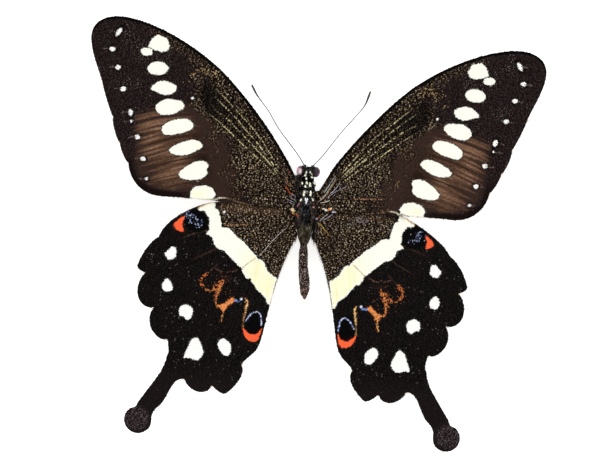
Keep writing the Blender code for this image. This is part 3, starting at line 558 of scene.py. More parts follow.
def forewing_tones(x, y, chance, edge, side):
    """Everything on a forewing, from the ground up, and what only one side has."""
    paint = Paint(x, y, chance, BLACK)
    paint.freckle((66, 56, 54), np.ones(len(x)), 3.0)
    paint.freckle((170, 158, 150), 0.6 * step_up(patchy(x, y, 3.0, 14), 0.5, 0.85), 18.0)
    from_root = np.hypot(x - 3, y - 1)
    cloud = patchy(x, y, 2.6, 11)
    near_vein, streaks = beside_veins(x, y, "forewing", ("medial_1", "medial_2", "medial_3", "cubital_1",
                                                         "cubital_2", "anal"))
    # Brown field behind the spots, streaked outward, then the speckled inner half
    paint.over((60, 44, 38), step_up(paint.outline(DARK_FIELD), -1.0, 1.0) * (0.65 + 0.35 * chance[:, 2]))
    field = paint.outline(BROWN_FIELD) + (2.4 + 3.2 * step_up(x, 31, 36)) * (streaks - 0.55)
    brown = DARK_BROWN + (np.array(WARM_BROWN) - DARK_BROWN) * step_up(x, 24, 31)[:, None]
    glow = step_up(streaks, 0.5, 0.9) * step_up(x, 26, 31) * step_up(paint.outline(BROWN_FIELD), 0.5, 4.0)
    brown = brown + (np.array(PALE_BROWN) - brown) * glow[:, None]
    brown = brown * (0.66 + 0.42 * streaks + 0.34 * (chance[:, 2] - 0.5))[:, None]
    cover = step_up(field, -0.4, 1.4 + 1.2 * step_up(x, 31, 36))
    paint.tones += (brown - paint.tones) * cover[:, None]
    paint.over((30, 20, 17), 0.5 * step_up(0.2 - near_vein, -0.12, 0.12) * step_up(x, 24, 29) * cover)
    paint.freckle((176, 128, 96), 0.7 * cover * step_up(x, 24, 28) * cloud, 16.0)
    from_line = ((20 - x) * 20 - (11 - y) * 8) / 21.5
    inner = step_up(from_line + 6 * (cloud - 0.5) + 2.4 * (chance[:, 3] - 0.5), -2.6, 3.4)
    cell_side = step_up(y - 0.62 * x - 2.0, 0, 1.5) * (1 - step_up(from_root, 30, 36))
    inner = np.maximum(inner, cell_side)
    paint.over(SPECK_GROUND, inner * 0.92)
    rows = 0.55 + 0.45 * np.cos(edge * 7.0)
    pale = inner * (0.72 + 0.4 * cloud) * np.where(edge < 4.0, 0.35 + 0.75 * rows, 1.0)
    paint.freckle(PALE_SPECK, pale, 6.0)
    paint.sprinkle(GOLD_SPECK, 0.025 * inner, 0.6)
    # Leading edge and the dark margins
    rear = step_up(1.5 - edge + 0.9 * (streaks - 0.5), -0.3, 0.5)
    paint.over((24, 17, 16), 0.85 * (rear * step_up(x, 27, 30) * (1 - step_up(y, 6, 9))))
    front = step_up(y - 0.62 * x, 3.5, 5.0)
    far_front = front * (1 - inner) * (1 - step_up(x, 36, 42))
    paint.freckle((208, 176, 126), 0.8 * far_front * step_up(3.8 - edge, 0, 2.0) * (0.2 + 0.8 * rows), 6.5)
    paint.over(DEEP_BLACK, front * step_up(0.75 - edge, -0.1, 0.15) * 0.85)
    # Streaked cell
    cell = paint.outline(CELL)
    paint.over(DEEP_BLACK, step_up(cell, -0.2, 1.4) * 0.62)
    paint.freckle((190, 168, 124), 0.7 * step_up(cell, -0.2, 0.6) * (1 - step_up(from_root, 22, 27)), 12.0)
    for points in CELL_STREAKS:
        distance, share, _ = to_line(x, y, smooth_line(points, 0.5))
        fading = step_up(share, 0.0, 0.1) * (1 - 0.5 * step_up(share, 0.75, 1.0))
        on = chance[:, 1] < 0.3 + 0.55 * patchy(share * 60, 9.0 * points[0][1] + 0 * share, 1.0, 15)
        paint.over(STREAK, step_up(0.08 - distance + paint.wobble, -0.05, 0.03) * (0.15 + 0.8 * on) * fading)
    # Gold specks at the end of the cell and along the front edge
    bar = np.maximum(paint.line(((22.6, 28.2), (26.0, 28.9), (29.4, 28.2)), 1.3),
                     paint.line(((29.4, 26.6), (30.2, 25.0)), 1.0))
    paint.sprinkle((206, 172, 116), 0.13 * step_up(bar, -0.6, 0.8), 0.4 + 0.6 * chance[:, 2])
    for index, points in enumerate(FOREWING_SPOTS):
        depth = paint.outline(points, smooth=index not in (0, 8))
        paint.over(DEEP_BLACK, 0.6 * step_up(depth, -0.35, -0.05))
        paint.fill(CREAM, depth, 0.03)
        if index > 3:
            paint.over(YELLOW_CREAM, step_up(depth, 0.2, 0.6) * step_up(patchy(x, y, 2.2, 13), 0.5, 0.95)
                       * 0.7)
    for middle, radii, turn in FOREWING_DOTS:
        depth = paint.oval(middle, radii, turn)
        paint.over(DEEP_BLACK, 0.7 * step_up(depth, -0.6, -0.1))
        paint.fill(WHITE, depth, 0.07)
        if middle[0] > 37:
            tail = paint.line((middle, (middle[0] + 1.0, middle[1] - 0.05),
                               (middle[0] + 2.1, middle[1] - 0.2)), 0.16)
            paint.sprinkle((140, 124, 116), 0.4 * step_up(tail, -0.1, 0.1), 0.7)
    thin(paint, (240, 232, 208), ((18.8, 0.2), (20.4, 0.1), (21.6, -0.35), (27.2, -0.45)), 0.14)
    thin(paint, (150, 118, 84), ((13.5, -0.9), (16.0, -0.5), (18.8, 0.2)), 0.14, 0.6)
    if side == "right":
        thin(paint, (186, 130, 100), ((9.9, 2.2), (12.0, 2.5), (14.1, 2.56), (17.5, 2.9)), 0.08, 0.7)
    return paint


def hindwing_tones(x, y, chance, edge, side):
    """Everything on a hindwing and its tail, from the ground up, and what only one side has."""
    paint = Paint(x, y, chance, (15, 12, 12))
    paint.freckle((42, 38, 37), np.ones(len(x)), 3.0)
    cloud = patchy(x, y, 2.4, 21)
    near_vein, _ = beside_veins(x, y, "hindwing", ("subcosta", "radial", "medial_1", "medial_2", "medial_3",
                                                   "cubital_1", "cubital_2"))
    band = paint.outline(HINDWING_BAND, smooth=False) - 0.4 * np.exp(-((near_vein / 0.4) ** 2))
    # Speckled inner part, between the body and the band
    inner = 1 - step_up(-paint.outline(HINDWING_BASE, False), -0.3, 0.3)
    paint.over((24, 16, 11), inner)
    strip = paint.line(((5.0, -1.2), (10.0, -1.6), (16.0, -1.5), (20.0, -1.8)), 1.3)
    paint.over((84, 60, 45), step_up(strip, -0.6, 0.9) * (0.5 + 0.4 * cloud)
               * (0.5 if side == "right" else 1.0))
    paint.freckle((224, 204, 174), inner * (0.72 + 0.4 * cloud), 7.2)
    paint.sprinkle(GOLD_SPECK, 0.02 * inner, 0.6)
    # Outer part: black, with thin grey specks
    outer = 1 - inner
    specks = step_up(patchy(x, y, 4.0, 22), 0.5, 0.85) * outer
    paint.sprinkle((120, 112, 108), 0.002 + 0.012 * specks, 0.8)
    paint.over((36, 29, 30), 0.75 * step_up(-y, 37, 44) * outer * (0.5 + 0.5 * chance[:, 2]))
    # The tail knob's pale freckles are partly its own paler grey-purple scales, partly painted highlights on
    # its wrinkles.
    knob = step_up(paint.oval((35.5, -51.9), (3.6, 3.6)), 0.3, 1.2)
    paint.over((34, 27, 28), 0.8 * knob * (0.5 + 0.5 * chance[:, 2]))
    paint.freckle((116, 102, 104), knob, 4.5)
    # Brown veins just outside the band
    veins = step_up(0.16 - near_vein, -0.1, 0.1) * step_up(-band, 0.0, 0.5)
    veins = veins * (1 - step_up(-band, 4.0, 8.0)) * outer
    paint.over((84, 60, 46), 0.55 * veins * (x > 19.5))
    thin(paint, (108, 76, 66), ((20.1, -16.1), (18.7, -16.7), (17.3, -16.8), (16.0, -16.5), (14.6, -15.8)),
         0.13, 0.8)
    paint.over((50, 36, 31), 0.5 * step_up(paint.oval((17.4, -18.0), (2.3, 0.9)), 0.0, 0.6))
    # Orange zigzag
    for points, half_width, tone, density in ZIGZAG:
        depth = paint.line(points, half_width) if half_width else paint.outline(points, False)
        paint.sprinkle(DEEP_ORANGE, 0.3 * density * step_up(depth, -0.5, 0.0), 0.4 + 0.4 * chance[:, 2])
        on = chance[:, 2] < density * step_up(depth + 1.5 * paint.wobble, -0.1, 0.06)
        paint.over(tone, on * (0.7 + 0.3 * chance[:, 1]))
    field = paint.oval((19.5, -20.5), (5.0, 4.6))
    paint.sprinkle((150, 92, 62), 0.04 * step_up(field, 0, 1.5), 0.7)
    paint.sprinkle((120, 112, 118), 0.10 * step_up(paint.oval((15.2, -18.6), (1.5, 1.3)), 0, 0.8), 0.7)
    # Band and its stains
    paint.over(DEEP_BLACK, 0.7 * step_up(band, -0.5, -0.05))
    paint.fill(CREAM, band, 0.03)
    inward = step_up(-x - 0.3 * y, -13, -4)
    folds = patchy(x * 3.0 + y * 0.4, y * 0.3, 1.3, 23)
    paint.over(YELLOW_CREAM, step_up(band, 0.1, 0.5) * inward * (0.55 + 0.45 * folds))
    paint.over((246, 240, 176), step_up(band, 0.1, 0.5) * inward * step_up(folds, 0.6, 1.0) * 0.6)
    thin(paint, (206, 176, 128), ((20.0, -0.5), (22.6, -1.2), (25.2, -2.7)), 0.13)
    thin(paint, (176, 150, 112), ((11.0, -13.0), (12.5, -14.2), (14.0, -15.7)), 0.07)
    # Eye spot by the front edge
    eye = paint.oval((25.3, -5.6), (3.0, 2.5), 25)
    paint.over(DEEP_BLACK, 0.9 * step_up(eye, -0.2, 0.3))
    blue = paint.oval((25.9, -5.3), (2.5, 1.3), 32)
    density = step_up(blue, -0.4, 0.8) * (0.6 if side == "right" else 1.0)
    paint.sprinkle(BLUE, 0.2 * density, 0.25 + 0.75 * chance[:, 2])
    paint.over((206, 212, 236), (chance[:, 2] > 1 - 0.1 * density) * 0.9)
    lunule = np.array(COSTAL_LUNULE)
    if side == "right":
        lunule = lunule * (0.78, 0.84) + (6.1, -1.05)
    paint.fill(LUNULE, paint.outline(lunule), 0.04)
    # Eye spot at the inner corner
    paint.over(DEEP_BLACK, step_up(paint.oval((10.4, -28.0), (2.3, 3.1)), -0.3, 0.4))
    arc = step_up(paint.line(BLUE_ARC, 0.13) + paint.wobble, -0.06, 0.04)
    paint.over(BLUE, arc * (0.3 + 0.7 * chance[:, 2]))
    paint.over((232, 238, 255), arc * (chance[:, 1] < 0.4))
    paint.fill(LUNULE, paint.outline(ANAL_CRESCENT), 0.04)
    streak = paint.line(((15.1, -23.2), (14.0, -23.05), (13.3, -22.5)), 0.2)
    paint.sprinkle((130, 160, 230), 0.75 * step_up(streak, -0.12, 0.06))
    paint.over(WHITE, step_up(paint.oval((13.6, -22.65), (0.26, 0.2)), -0.06, 0.04))
    for points in HINDWING_SPOTS:
        paint.fill(WHITE, paint.outline(points), 0.03)
    if side == "left":
        paint.fill(WHITE, paint.oval((19.0, -3.0), (0.3, 0.26)), 0.03)
        thin(paint, (176, 126, 92), ((12.0, -5.4), (15.5, -5.7), (19.0, -6.1)), 0.09, 0.7)
    else:
        paint.sprinkle((150, 140, 150), 0.25 * step_up(paint.oval((12.5, -2.6), (2.0, 0.9)), -0.2, 0.4), 0.7)
    return paint


WING_TONES = {"forewing": forewing_tones, "hindwing": hindwing_tones}


def wing_paint(wing, side, x, y, chance, edge, under=False):
    """Colours of places on a wing's upper side, or of the same pattern in a paler brown under it."""
    mark_x, mark_y = marking_place(x, y, wing, side)
    paint = WING_TONES[wing](mark_x, mark_y, chance, edge, side)
    if under:
        darkness = 1 - step_up(paint.tones.mean(axis=1), 90, 170)
        paint.over((112, 90, 70), 0.6 * darkness * (0.6 + 0.4 * chance[:, 2]))
    return paint.linear()


# Finishes

class Flow:
    """One socket of a finish's nodes. Sums, products and powers of it add their Math nodes."""

    def __init__(self, tree, socket):
        self.tree = tree
        self.socket = socket

    def node(self, kind, settings=None, sockets=None, output=0):
        """Adds a node of a kind: its settings first, then the values or links of its sockets."""
        node = self.tree.nodes.new(kind)
        for name, value in (settings or {}).items():
            if name == "stops":
                for stop, (place, colour) in zip(node.color_ramp.elements, value):
                    stop.position = place
                    stop.color = colour
            else:
                setattr(node, name, value)
        for name, value in (sockets or {}).items():
            if isinstance(value, Flow):
                self.tree.links.new(value.socket, node.inputs[name])
            else:
                node.inputs[name].default_value = value
        return Flow(self.tree, node.outputs[output])

    def math(self, operation, *values):
        return self.node("ShaderNodeMath", {"operation": operation}, dict(enumerate(values)))

    def mixed(self, first, second):
        """Two colours mixed by this value."""
        return self.node("ShaderNodeMix", {"data_type": "RGBA"}, {0: self, 6: first, 7: second}, 2)

    def __add__(self, other):
        return self.math("ADD", self, other)

    def __radd__(self, other):
        return self.math("ADD", other, self)

    def __sub__(self, other):
        return self.math("SUBTRACT", self, other)

    def __rsub__(self, other):
        return self.math("SUBTRACT", other, self)

    def __mul__(self, other):
        return self.math("MULTIPLY", self, other)

    def __rmul__(self, other):
        return self.math("MULTIPLY", other, self)

    def __pow__(self, other):
        return self.math("POWER", self, other)


def finish(name, specular):
    """A new material, its shader and the place on the object as the first value to build on."""
    material = bpy.data.materials.new(name)
    material.use_nodes = True
    tree = material.node_tree
    shader = tree.nodes["Principled BSDF"]
    shader.inputs["Specular IOR Level"].default_value = specular
    place = Flow(tree, tree.nodes.new("ShaderNodeTexCoord").outputs["Object"])
    return material, shader, place


def wear(shader, name, value):
    """Links a changing value to one of the shader's sockets."""
    value.tree.links.new(value.socket, shader.inputs[name])


def relief(shader, height, strength, distance):
    """Fine relief on a surface from a changing height."""
    wear(shader, "Normal", height.node("ShaderNodeBump", None,
                                       {"Strength": strength, "Distance": distance, "Height": height}))


def marked(place):
    """The colour that each point of the mesh carries."""
    return place.node("ShaderNodeVertexColor", {"layer_name": "marking"})


def noise(place, scale, detail=3.0):
    return place.node("ShaderNodeTexNoise", None, {"Vector": place, "Scale": scale, "Detail": detail})


def tinted(place, colour, amount, scale):
    """A colour made darker and lighter in small patches."""
    shade = 1 - amount + noise(place, scale) * (2 * amount)
    return place.node("ShaderNodeVectorMath", {"operation": "SCALE"}, {0: colour, "Scale": shade})


def coat_finish(name, specular, mottling, roughness, bump=None):
    """A dull surface in the colour that each point carries, mottled, uneven in gloss and finely raised."""
    material, shader, place = finish(name, specular)
    wear(shader, "Base Color", tinted(place, marked(place), *mottling))
    least, more, scale = roughness
    wear(shader, "Roughness", least + more * noise(place, scale))
    if bump:
        scale, detail, strength, height = bump
        relief(shader, noise(place, scale, detail), strength, height)
    return material


def horn_finish():
    """Black-brown horn of the legs, feelers and tongue, with fine rings and dull patches."""
    material, shader, place = finish("black_horn", 0.5)
    patches = noise(place, 1600.0)
    wear(shader, "Base Color", patches.mixed((0.012, 0.009, 0.008, 1), (0.045, 0.03, 0.022, 1)))
    wear(shader, "Roughness", 0.25 + 0.3 * noise(place, 2500.0))
    relief(shader, noise(place, 4200.0), 0.5, 0.00003)
    return material


def eye_finish():
    """Purple-brown compound eye: fine facets under a soft gloss, with darker clouds."""
    material, shader, place = finish("eye_facets", 0.2)
    shader.inputs["Coat Weight"].default_value = 0.2
    shader.inputs["Coat Roughness"].default_value = 0.2
    colour = tinted(place, marked(place), 0.5, 700.0)
    facets = place.node("ShaderNodeTexVoronoi", {"feature": "DISTANCE_TO_EDGE"},
                        {"Vector": place, "Scale": 9000.0})
    rims = facets.math("SMOOTH_MIN", facets * 6.0, 1.0, 0.3)
    wear(shader, "Base Color", place.node("ShaderNodeVectorMath", {"operation": "SCALE"},
                                          {0: colour, "Scale": 0.55 + 0.45 * rims}))
    wear(shader, "Roughness", 0.24 + 0.3 * (1 - rims))
    relief(shader, rims, 0.5, 0.00002)
    return material


def floor_finish():
    material, shader, place = finish("pale_floor", 0.1)
    shader.inputs["Roughness"].default_value = 0.9
    wear(shader, "Base Color", noise(place, 6.0).mixed((0.9, 0.9, 0.9, 1), (0.94, 0.94, 0.93, 1)))
    shader.inputs["Emission Color"].default_value = (1, 1, 1, 1)
    shader.inputs["Emission Strength"].default_value = FLOOR_GLOW
    return material


FINISHES = {
    "scales": coat_finish("wing_scales", 0.04, (0.12, 2600.0), (0.5, 0.25, 900.0),
                          (9000.0, 1.0, 0.25, 0.00002)),
    "membrane": coat_finish("wing_membrane", 0.04, (0.2, 1400.0), (0.4, 0.35, 1100.0),
                            (3000.0, 3.0, 0.4, 0.00005)),
    "hair": coat_finish("body_hair", 0.035, (0.2, 2200.0), (0.45, 0.25, 1500.0)),
    "skin": coat_finish("body_skin", 0.04, (0.25, 1200.0), (0.4, 0.35, 1800.0), (2600.0, 3.0, 0.6, 0.00008)),
    "horn": horn_finish(),
    "eye": eye_finish(),
    "floor": floor_finish(),
}


# Meshes

def put(name, data):
    """A new object in the scene."""
    obj = bpy.data.objects.new(name, data)
    bpy.context.scene.collection.objects.link(obj)
    return obj


def make_piece(name, points, faces, finish_name, colours=None, unwrap=None, smooth=True, nodes=()):
    """A piece from plan points. Colours are one for each point, unwrap a place for each point."""
    mesh = bpy.data.meshes.new(name)
    mesh.from_pydata((ORIGIN + np.asarray(points) * MM).tolist(), [],
                     faces if isinstance(faces, list) else faces.tolist())
    mesh.materials.append(FINISHES[finish_name])
    if colours is not None:
        layer = mesh.color_attributes.new("marking", "FLOAT_COLOR", "POINT")
        layer.data.foreach_set("color", np.asarray(colours, np.float32).ravel())
    if unwrap is not None:
        corners = np.zeros(len(mesh.loops), np.int32)
        mesh.loops.foreach_get("vertex_index", corners)
        layer = mesh.uv_layers.new(name="OFBake")
        layer.data.foreach_set("uv", np.asarray(unwrap, np.float32)[corners].ravel())
    if smooth:
        mesh.shade_smooth()
    obj = put(name, mesh)
    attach(obj, "root")
    if nodes:
        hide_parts(*nodes)
    return obj


PATCH = 0.003  # size of one scale's or lock's patch on the unwrap


def patches(places, shape):
    """Each small thing's own patch of the unwrap: its root's place plus the shape of its points there."""
    return (places[:, None, :] + np.array(shape) * PATCH).reshape(-1, 2)


def repeated(faces, points_each, count):
    """The faces of many small things of one shape, one after the other."""
    return (np.array(faces)[None] + points_each * np.arange(count)[:, None, None]).reshape(-1, 3)


PLATE_RIM = ((0.0, 0.0, 0.0), (0.8, 0.5, 0.85), (1.0, 0.0, 1.0), (0.8, -0.5, 0.85))
PLATE_FACES = ((0, 1, 2), (0, 2, 3), (1, 0, 4), (2, 1, 4), (3, 2, 4), (0, 3, 4))
PLATE_UNWRAP = ((0, 0.5), (0.8, 1), (1, 0.5), (0.8, 0), (0.5, 0.5))
PLATE_POINTS = 5


def plates(roots, along, out, lengths, widths, lifts, thickness):
    """Closed little plates like roof tiles, each lying along its own way and raised towards its tip."""
    side = np.cross(along, out)
    corners = [roots + along * (lengths * ahead)[:, None] + side * (widths * across)[:, None]
               + out * (lifts * rise)[:, None] for ahead, across, rise in PLATE_RIM]
    corners.append(roots + along * (lengths * 0.6)[:, None] + out * (lifts * 0.6 - thickness)[:, None])
    points = np.stack(corners, axis=1).reshape(-1, 3)
    return points, repeated(PLATE_FACES, PLATE_POINTS, len(roots))


def scale_coat(name, finish_name, roots, along, out, lengths, widths, lifts, thickness, colours,
               places):
    """One coat piece of closed little plates, each with its colour and its patch of the unwrap."""
    points, faces = plates(roots, along, out, lengths, widths, lifts, thickness)
    make_piece(name, points, faces, finish_name, np.repeat(colours, PLATE_POINTS, axis=0),
               patches(places, PLATE_UNWRAP), smooth=False)


def fitted(plan, around):
    """Plan places as places on an unwrap that the points around just fill."""
    low, high = around.min(axis=0), around.max(axis=0)
    return (plan - low) / (high - low).max()


def swung(heading, turn):
    """Plan headings, each turned by some radians."""
    c, s = np.cos(turn), np.sin(turn)
    return columns(heading[:, 0] * c - heading[:, 1] * s, heading[:, 0] * s + heading[:, 1] * c)


LOCK_POINTS = 7
LOCK_FACES = ((0, 1, 2), (1, 0, 3), (1, 3, 4), (2, 1, 4), (2, 4, 5), (0, 2, 5), (0, 5, 3), (4, 3, 6),
              (5, 4, 6), (3, 5, 6))
LOCK_UNWRAP = ((0, 0), (0, 0.5), (0, 1), (0.5, 0), (0.5, 0.5), (0.5, 1), (1, 0.5))


def locks(roots, along, out, lengths, radii, arch, droop):
    """Closed tapered locks of hair that rise by arch of their length half way and end at droop of it."""
    side = np.cross(along, out)
    points = []
    for ahead, rise, size in ((-0.04, 0.0, 1.0), (0.5, arch, 0.75)):
        for angle in (math.pi / 2, math.pi * 7 / 6, math.pi * 11 / 6):
            points.append(roots + along * (lengths * ahead)[:, None]
                          + out * (lengths * rise + radii * size * math.sin(angle))[:, None]
                          + side * (radii * size * math.cos(angle))[:, None])
    points.append(roots + along * lengths[:, None] + out * (lengths * droop)[:, None])
    points = np.stack(points, axis=1).reshape(-1, 3)
    return points, repeated(LOCK_FACES, LOCK_POINTS, len(roots))


def ringed(rings, first, last):
    """Points and faces of a closed tube through rings of points, with a point in each end."""
    sides = len(rings[0])
    points = np.vstack(rings + [first, last])
    faces = []
    for i in range(len(rings) - 1):
        for j in range(sides):
            k = (j + 1) % sides
            a, b, c, d = i * sides + j, i * sides + k, (i + 1) * sides + k, (i + 1) * sides + j
            faces += [(a, b, c), (a, c, d)]
    faces += [(len(points) - 2, (j + 1) % sides, j) for j in range(sides)]
    end = (len(rings) - 1) * sides
    faces += [(len(points) - 1, end + j, end + (j + 1) % sides) for j in range(sides)]
    return points, np.array(faces)


def tube(line, radii, sides=10):
    """A closed round tube along a line, with points and faces."""
    line, radii = np.asarray(line, float), np.asarray(radii, float)
    tangents = unit(np.gradient(line, axis=0))
    across = np.cross(tangents[0], (0.31, 0.22, 0.93))
    rings = []
    for point, tangent, radius in zip(line, tangents, radii):
        across = across - tangent * (across @ tangent)
        across = across / np.linalg.norm(across)
        other = np.cross(tangent, across)
        turns = 2 * np.pi * np.arange(sides) / sides
        rings.append(point + radius * (np.cos(turns)[:, None] * across + np.sin(turns)[:, None] * other))
    return ringed(rings, line[:1], line[-1:])


def ball_shape(subdivisions):
    """Points and faces of a ball of radius one."""
    ball = bmesh.new()
    bmesh.ops.create_icosphere(ball, subdivisions=subdivisions, radius=1.0)
    points = np.array([v.co for v in ball.verts])
    faces = np.array([[v.index for v in f.verts] for f in ball.faces])
    ball.free()
    return points, faces


def joined(shapes):
    """Several shapes' points and faces as one."""
    points, faces, start = [], [], 0
    for some_points, some_faces in shapes:
        points.append(some_points)
        faces.append(np.asarray(some_faces) + start)
        start += len(some_points)
    return np.vstack(points), np.vstack(faces)


STROKES = (  # bare veins and torn threads on the wing roots: side, tone, half width, places with x outward
    ("right", (255, 238, 216), 0.085, ((2.3, 1), (3.5, 2.2), (4.5, 3.9), (6, 6.8))),
    ("right", (190, 150, 120), 0.07, ((2.6, 1.1), (3.8, 2.2), (4.8, 3.9), (6.2, 6.6))),
    ("right", (228, 224, 228), 0.075, ((3.8, 3.5), (4.7, 5.3), (5.8, 7.3))),
    ("right", (240, 240, 246), 0.075, ((3.5, 3.1), (4.2, 4.5))),
    ("right", (206, 198, 222), 0.08, ((4, 2), (5.2, 2.9), (6.1, 3.6), (8.6, 5))),
    ("right", (255, 248, 240), 0.08, ((2.8, 0.8), (4, 1.1), (5, 1.6))),
    ("right", (240, 236, 244), 0.075, ((4.8, 2.9), (6.1, 4.3), (7.1, 6))),
    ("right", (255, 250, 250), 0.09, ((3, -3.4), (3.9, -2.4), (4.9, -1.5))),
    ("right", (214, 206, 226), 0.09, ((3.9, -3.1), (5.1, -2.2), (6.1, -1.4))),
    ("right", (255, 214, 96), 0.085, ((2.8, -3.8), (3.5, -4.4), (4.8, -5.8))),
    ("right", (232, 150, 70), 0.06, ((4.1, -5.1), (5, -6), (5.8, -6.9))),
    ("right", (214, 208, 210), 0.07, ((9.3, -3.7), (10, -3.5), (10.6, -3.8))),
    ("left", (206, 150, 118), 0.075, ((5.8, 6.2), (5.2, 5.4), (4.9, 4.4), (4.6, 4))),
    ("left", (246, 112, 60), 0.1, ((5.6, 4.1), (4.9, 3.3), (4.3, 2.5), (3.8, 2.2))),
    ("left", (176, 84, 54), 0.09, ((5, 7.6), (4.8, 7.2), (4.6, 7))),
    ("left", (150, 116, 136), 0.075, ((4, 4.2), (3.4, 3.6))),
    ("left", (226, 220, 232), 0.055, ((4.3, 1.7), (3.6, 2.2), (3.1, 1.8), (2.9, 1.4))),
    ("left", (226, 220, 232), 0.055, ((4.2, 1.6), (3.4, 1.1), (2.9, 0.9), (2.7, 0.5))),
    ("left", (214, 206, 218), 0.055, ((5.2, 1), (4.2, 0.8), (3.1, 0.4))),
    ("left", (214, 206, 218), 0.05, ((4.4, 0.5), (3.5, 0), (2.9, 0.2))),
    ("left", (255, 250, 246), 0.065, ((4.5, -5.5), (6.4, -7.5), (8.2, -9.8), (10.2, -12.6))),
)
# Clusters of raised scales on body and wing roots, and a few painted glints, by tone: x, y, half width, half
# length, turn
FLAKES_AND_GLINTS = {
    (255, 252, 230): (
        (-0.92, 7.6, 0.17, 0.3, -12), (-0.02, 7.75, 0.16, 0.3, 8), (0.44, 7.34, 0.16, 0.36, 30),
        (-1.11, 6.94, 0.22, 0.2, 0), (-0.8, 6.13, 0.19, 0.26, 20), (0.44, 6.57, 0.18, 0.2, 0),
        (-1.69, 5.09, 0.15, 0.24, 10), (-0.66, 5.17, 0.18, 0.3, 0), (0.14, 5.05, 0.18, 0.26, 0),
        (1.09, 5.31, 0.16, 0.28, 20), (-0.9, 4.36, 0.21, 0.22, 0), (0.17, 4.57, 0.25, 0.22, 0),
        (-1.1, 2.96, 0.2, 0.34, -22), (-1.12, 2.4, 0.21, 0.32, 22), (0.42, 3.1, 0.2, 0.34, 22),
        (0.42, 2.5, 0.21, 0.34, -18), (-1.69, 1.2, 0.14, 0.34, -25), (1.03, 1.42, 0.15, 0.34, 25)),
    (255, 255, 255): ((-0.62, 1.35, 0.13, 0.46, 12), (-0.2, 1.38, 0.13, 0.46, -12),
                      (-0.4, 0.7, 0.1, 0.3, 0)),
    # In this tone the marks at (0.28, -5.3) and (-0.4, 3.2) are painted highlights, glints on the glossy
    # black thorax hair.
    (196, 190, 172): ((-2.37, 6.01, 0.15, 0.4, -10), (0.28, -5.3, 0.08, 0.35, 0), (-0.4, 3.2, 0.1, 0.1, 0)),
    (250, 226, 176): ((-3.45, -1.2, 0.36, 0.32, 0), (-3.1, -1.6, 0.42, 0.32, 0), (-2.7, -1.9, 0.3, 0.24, 0)),
    (236, 158, 84): ((-2.8, -2.2, 0.4, 0.26, 0), (-3.3, -1.95, 0.2, 0.14, 0), (5.05, -0.5, 0.26, 0.3, 0)),
    (164, 84, 52): ((-2.25, -2.5, 0.26, 0.16, 0), (1.85, 0.63, 0.34, 0.09, 0), (2.75, -2.5, 0.12, 0.12, 0)),
    (250, 240, 218): ((3.75, -0.5, 0.24, 0.12, 0), (4.3, -0.75, 0.3, 0.2, 0), (5.4, -0.3, 0.16, 0.2, 0)),
    (232, 166, 164): ((1.35, -0.3, 0.26, 0.06, 0),),
    (150, 108, 124): ((-2.0, 0.2, 0.08, 0.34, -25), (-2.3, -0.3, 0.1, 0.2, 0)),
    (206, 200, 220): ((1.85, -2.55, 0.16, 0.2, 0), (2.3, -2.85, 0.14, 0.18, 0), (6.0, -1.0, 0.4, 0.12, 0)),
}


def spread(values, count):
    """Values read off evenly along a row of given ones."""
    return np.interp(np.linspace(0, 1, count), np.linspace(0, 1, len(values)), values)


# Wings

def lattice(rim, step, rng, jitter=0.28):
    """Jittered places over a plan outline's box, in staggered rows, and which of them may be pale specks."""
    (low_x, low_y), (high_x, high_y) = rim.min(axis=0), rim.max(axis=0)
    rows = np.arange(low_y, high_y, step * 0.866)
    columns = np.arange(low_x, high_x + step, step)
    x, y = np.meshgrid(columns, rows)
    row, column = np.indices(x.shape)
    block = np.random.default_rng(5).integers(0, SPECK_BLOCK[0] * SPECK_BLOCK[1], x.shape)
    speck = (block[row // SPECK_BLOCK[0], column // SPECK_BLOCK[1]]
             == row % SPECK_BLOCK[0] * SPECK_BLOCK[1] + column % SPECK_BLOCK[1])
    x[1::2] += step / 2
    x = x.ravel() + rng.uniform(-jitter, jitter, x.size) * step
    y = y.ravel() + rng.uniform(-jitter, jitter, y.size) * step
    return x, y, speck.ravel()


